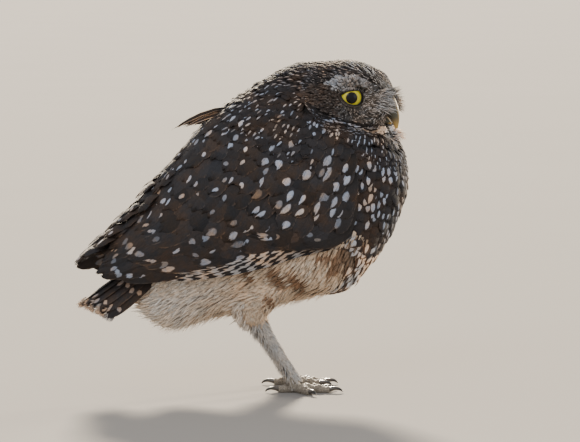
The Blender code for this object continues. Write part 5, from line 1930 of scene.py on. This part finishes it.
# Leg coats
def make_leg_coat(name, side, material):
    """Short hair-like feathers down the tarsus, longer behind, thinning out onto the toes."""
    coat = Coat(name, material)
    heel, ankle, axis, front, across = tarsus_axes(side)
    number = 2300
    share = draw.uniform(-0.02, 0.98, number)
    turn = draw.uniform(0, 2 * math.pi, number)
    width = TARSUS_HEEL_WIDTH + (TARSUS_FOOT_WIDTH - TARSUS_HEEL_WIDTH) * np.clip(share / 0.6, 0, 1)
    radial = np.cos(turn)[:, None] * front + np.sin(turn)[:, None] * across
    roots = heel + (ankle - heel) * share[:, None] + radial * (width / 2 - 0.5 * MM)[:, None]
    behind = smooth((np.cos(turn) - 0.1) / 0.6)
    upper = smooth((0.28 - share) / 0.28)
    lengths = (2.4 + 3.0 * behind + 2.2 * upper) * MM * draw.uniform(0.75, 1.2, number)
    away = (0.12 + 0.62 * behind + 0.16 * upper)[:, None]
    runs = unit(axis + radial * away + draw.normal(0, 0.12, (number, 3)))
    lengths = np.minimum(lengths, (roots[:, 2] - 0.8 * MM) / np.maximum(-runs[:, 2], 0.1))
    shares = STRAND.shares[None, :, None]
    spine = roots[:, None] + runs[:, None] * shares * lengths[:, None, None]
    ups = np.broadcast_to(radial[:, None], spine.shape)
    look = paint(number, (WHITE * 2.2 + GREY) / 3 * 0.92, GREY, spread=0.12)
    chart = np.stack([0.05 + 0.9 * turn / (2 * math.pi), 0.05 + 0.9 * np.clip(share, 0, 1)], axis=1)
    coat.lay(STRAND, spine, ups, 0.55 * MM, np.zeros(spine.shape[:2]), look, chart, None, 0.3)
    ankle_ground = np.array((ankle[0], ankle[1], 0))
    for _, length, turn_out in TOES:
        heading_turn = math.radians(turn_out) * side
        heading = np.array((math.cos(heading_turn), math.sin(heading_turn), 0))
        sideways = np.array((-heading[1], heading[0], 0))
        count = 34
        at = draw.uniform(0.02, 0.9, count)
        spread = draw.uniform(-1, 1, count)
        roots = ankle_ground + heading * (at * length * MM)[:, None] \
            + sideways * (spread * TOE_WIDTH * 0.38)[:, None] \
            + np.array((0, 0, 1.0)) * (TOE_HEIGHT * (0.86 - 0.3 * spread**2 - 0.2 * at))[:, None]
        runs = unit(heading + np.array((0, 0, 0.25)) + sideways * (spread * 0.4)[:, None]
                    + draw.normal(0, 0.15, (count, 3)))
        lengths = draw.uniform(1.8, 3.0, count) * MM
        spine = roots[:, None] + runs[:, None] * shares * lengths[:, None, None]
        ups = np.broadcast_to(np.array((0, 0, 1.0)), spine.shape)
        chart = np.stack([0.02 + 0.01 * at, 0.05 + 0.9 * at], axis=1)
        coat.lay(STRAND, spine, ups, 0.4 * MM, np.zeros(spine.shape[:2]), paint(count, WHITE * 0.8), chart,
                 None, 0.3)
    return coat


# Assembly
def place(made, slot, *nodes):
    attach(made, "root")
    if nodes:
        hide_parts(*nodes)
    return made


def build_owl():
    soft = plumage("plumage_soft", 130.0, 0.78, 0.35, 0.22)
    fine = plumage("plumage_fine", 40.0, 0.8, 0.0, 0.15, 0.5)
    vane = plumage("plumage_vane", 190.0, 0.62, 0.8, 0.4)
    # Its last number sets how dark the painted shade at the vane roots is.
    down = plumage("plumage_down", 24.0, 0.85, 0.0, 0.3, 0.12, 0.78)
    eye = eye_material()
    horn = bill_material()
    scales = scale_material()
    claw_horn = claw_material()
    skin = make_skin(skin_material())
    lid_finish = lid_material()
    lids = [make_lids(way, lid_finish) for way in (-1, 1)]
    skin = join_objects([skin, *lids], "skin")
    place(skin, "brown_plumage", "head", "neck", "torso", "thigh_right", "thigh_left", "tarsus_right",
          "tarsus_left")
    for name, way in (("right", -1), ("left", 1)):
        place(make_eye("eyeball_" + name, way, eye), "eye", "eye_" + name)
    place(make_upper_bill(horn), "bill", "bill_upper")
    place(make_lower_bill(horn), "bill", "bill_lower")
    crown, face = make_head_coats(fine, soft)
    place(crown.build(), "brown_plumage")
    place(face.build(), "brown_plumage")
    place(make_breast(soft).build(), "breast_plumage")
    place(make_belly(down).build(), "breast_plumage")
    place(make_fringe(down).build(), "breast_plumage")
    place(make_back(soft).build(), "brown_plumage")
    place(make_wing("wing_right_feathers", -1, 0.0, 0.0, vane).build(), "flight_feathers", "wing_right")
    place(make_wing("wing_left_feathers", 1, 0.75, 26.0, vane).build(), "flight_feathers", "wing_left")
    place(make_tail(vane).build(), "flight_feathers", "tail")
    for name, side in (("right", -1), ("left", 1)):
        foot, claws = make_foot(name, side, scales, claw_horn)
        place(foot, "foot", "foot_" + name)
        for toe, claw in claws:
            place(claw, "claw", "claw_" + name + "_" + toe)
        place(make_leg_coat("coat_leg_" + name, side, down).build(), "leg")


# Stage, light and camera
PHOTO_WIDTH = 0.348
VIEW_CENTRE = np.array((0.0285, 0.0, 0.1014))
VIEW_ELEVATION = math.radians(5)
LENS = 200.0
SENSOR = 36.0
FAR_LIGHT_WIDTH = math.radians(9)


def make_stage():
    bpy.ops.mesh.primitive_circle_add(vertices=64, radius=30, fill_type="NGON", location=(0, 0, 0))
    floor = bpy.context.object
    floor.name = "studio_floor"
    floor.data.materials.append(floor_material())


def aim_light(light, place_at, power, colour):
    """A light at a place, turned to the middle of the view."""
    light.energy = power
    light.color = colour
    made = bpy.data.objects.new(light.name, light)
    made.location = place_at
    toward = Vector(VIEW_CENTRE.tolist()) - Vector(place_at)
    made.rotation_euler = toward.to_track_quat("-Z", "Y").to_euler()
    bpy.context.scene.collection.objects.link(made)


def add_panel(name, place_at, size, power, colour):
    light = bpy.data.lights.new(name, "AREA")
    light.shape = "DISK"
    light.size = size
    aim_light(light, place_at, power, colour)


def add_far_light(name, place_at, power, colour):
    """A distant light with soft edges, even over the whole floor."""
    light = bpy.data.lights.new(name, "SUN")
    light.angle = FAR_LIGHT_WIDTH
    aim_light(light, place_at, power, colour)


def make_lights():
    world = bpy.data.worlds.new("studio")
    world.use_nodes = True
    sky = world.node_tree.nodes["Background"]
    sky.inputs["Color"].default_value = (0.945, 0.94, 0.945, 1)
    sky.inputs["Strength"].default_value = 0.98
    bpy.context.scene.world = world
    add_panel("key", (-0.7, -1.6, 1.3), 1.1, 14, (0.86, 0.93, 1.0))
    add_far_light("rim", (-0.10, 1.75, 0.85), 18, (1.0, 0.86, 0.66))
    add_far_light("edge", (1.3, 1.2, 0.45), 5, (1.0, 0.88, 0.70))
    add_panel("fill", (1.7, -1.0, 0.5), 1.2, 4, (0.92, 0.96, 1.0))


def make_camera():
    camera = bpy.data.cameras.new("camera")
    camera.lens = LENS
    camera.sensor_width = SENSOR
    camera.clip_start = 0.05
    camera.clip_end = 100
    made = bpy.data.objects.new("camera", camera)
    back = np.array((0, -math.cos(VIEW_ELEVATION), math.sin(VIEW_ELEVATION)))
    made.location = (VIEW_CENTRE + back * PHOTO_WIDTH * LENS / SENSOR).tolist()
    made.rotation_mode = "QUATERNION"
    made.rotation_quaternion = Vector((-back).tolist()).to_track_quat("-Z", "Y")
    bpy.context.scene.collection.objects.link(made)
    bpy.context.scene.camera = made


build_owl()
make_stage()
make_lights()
make_camera()
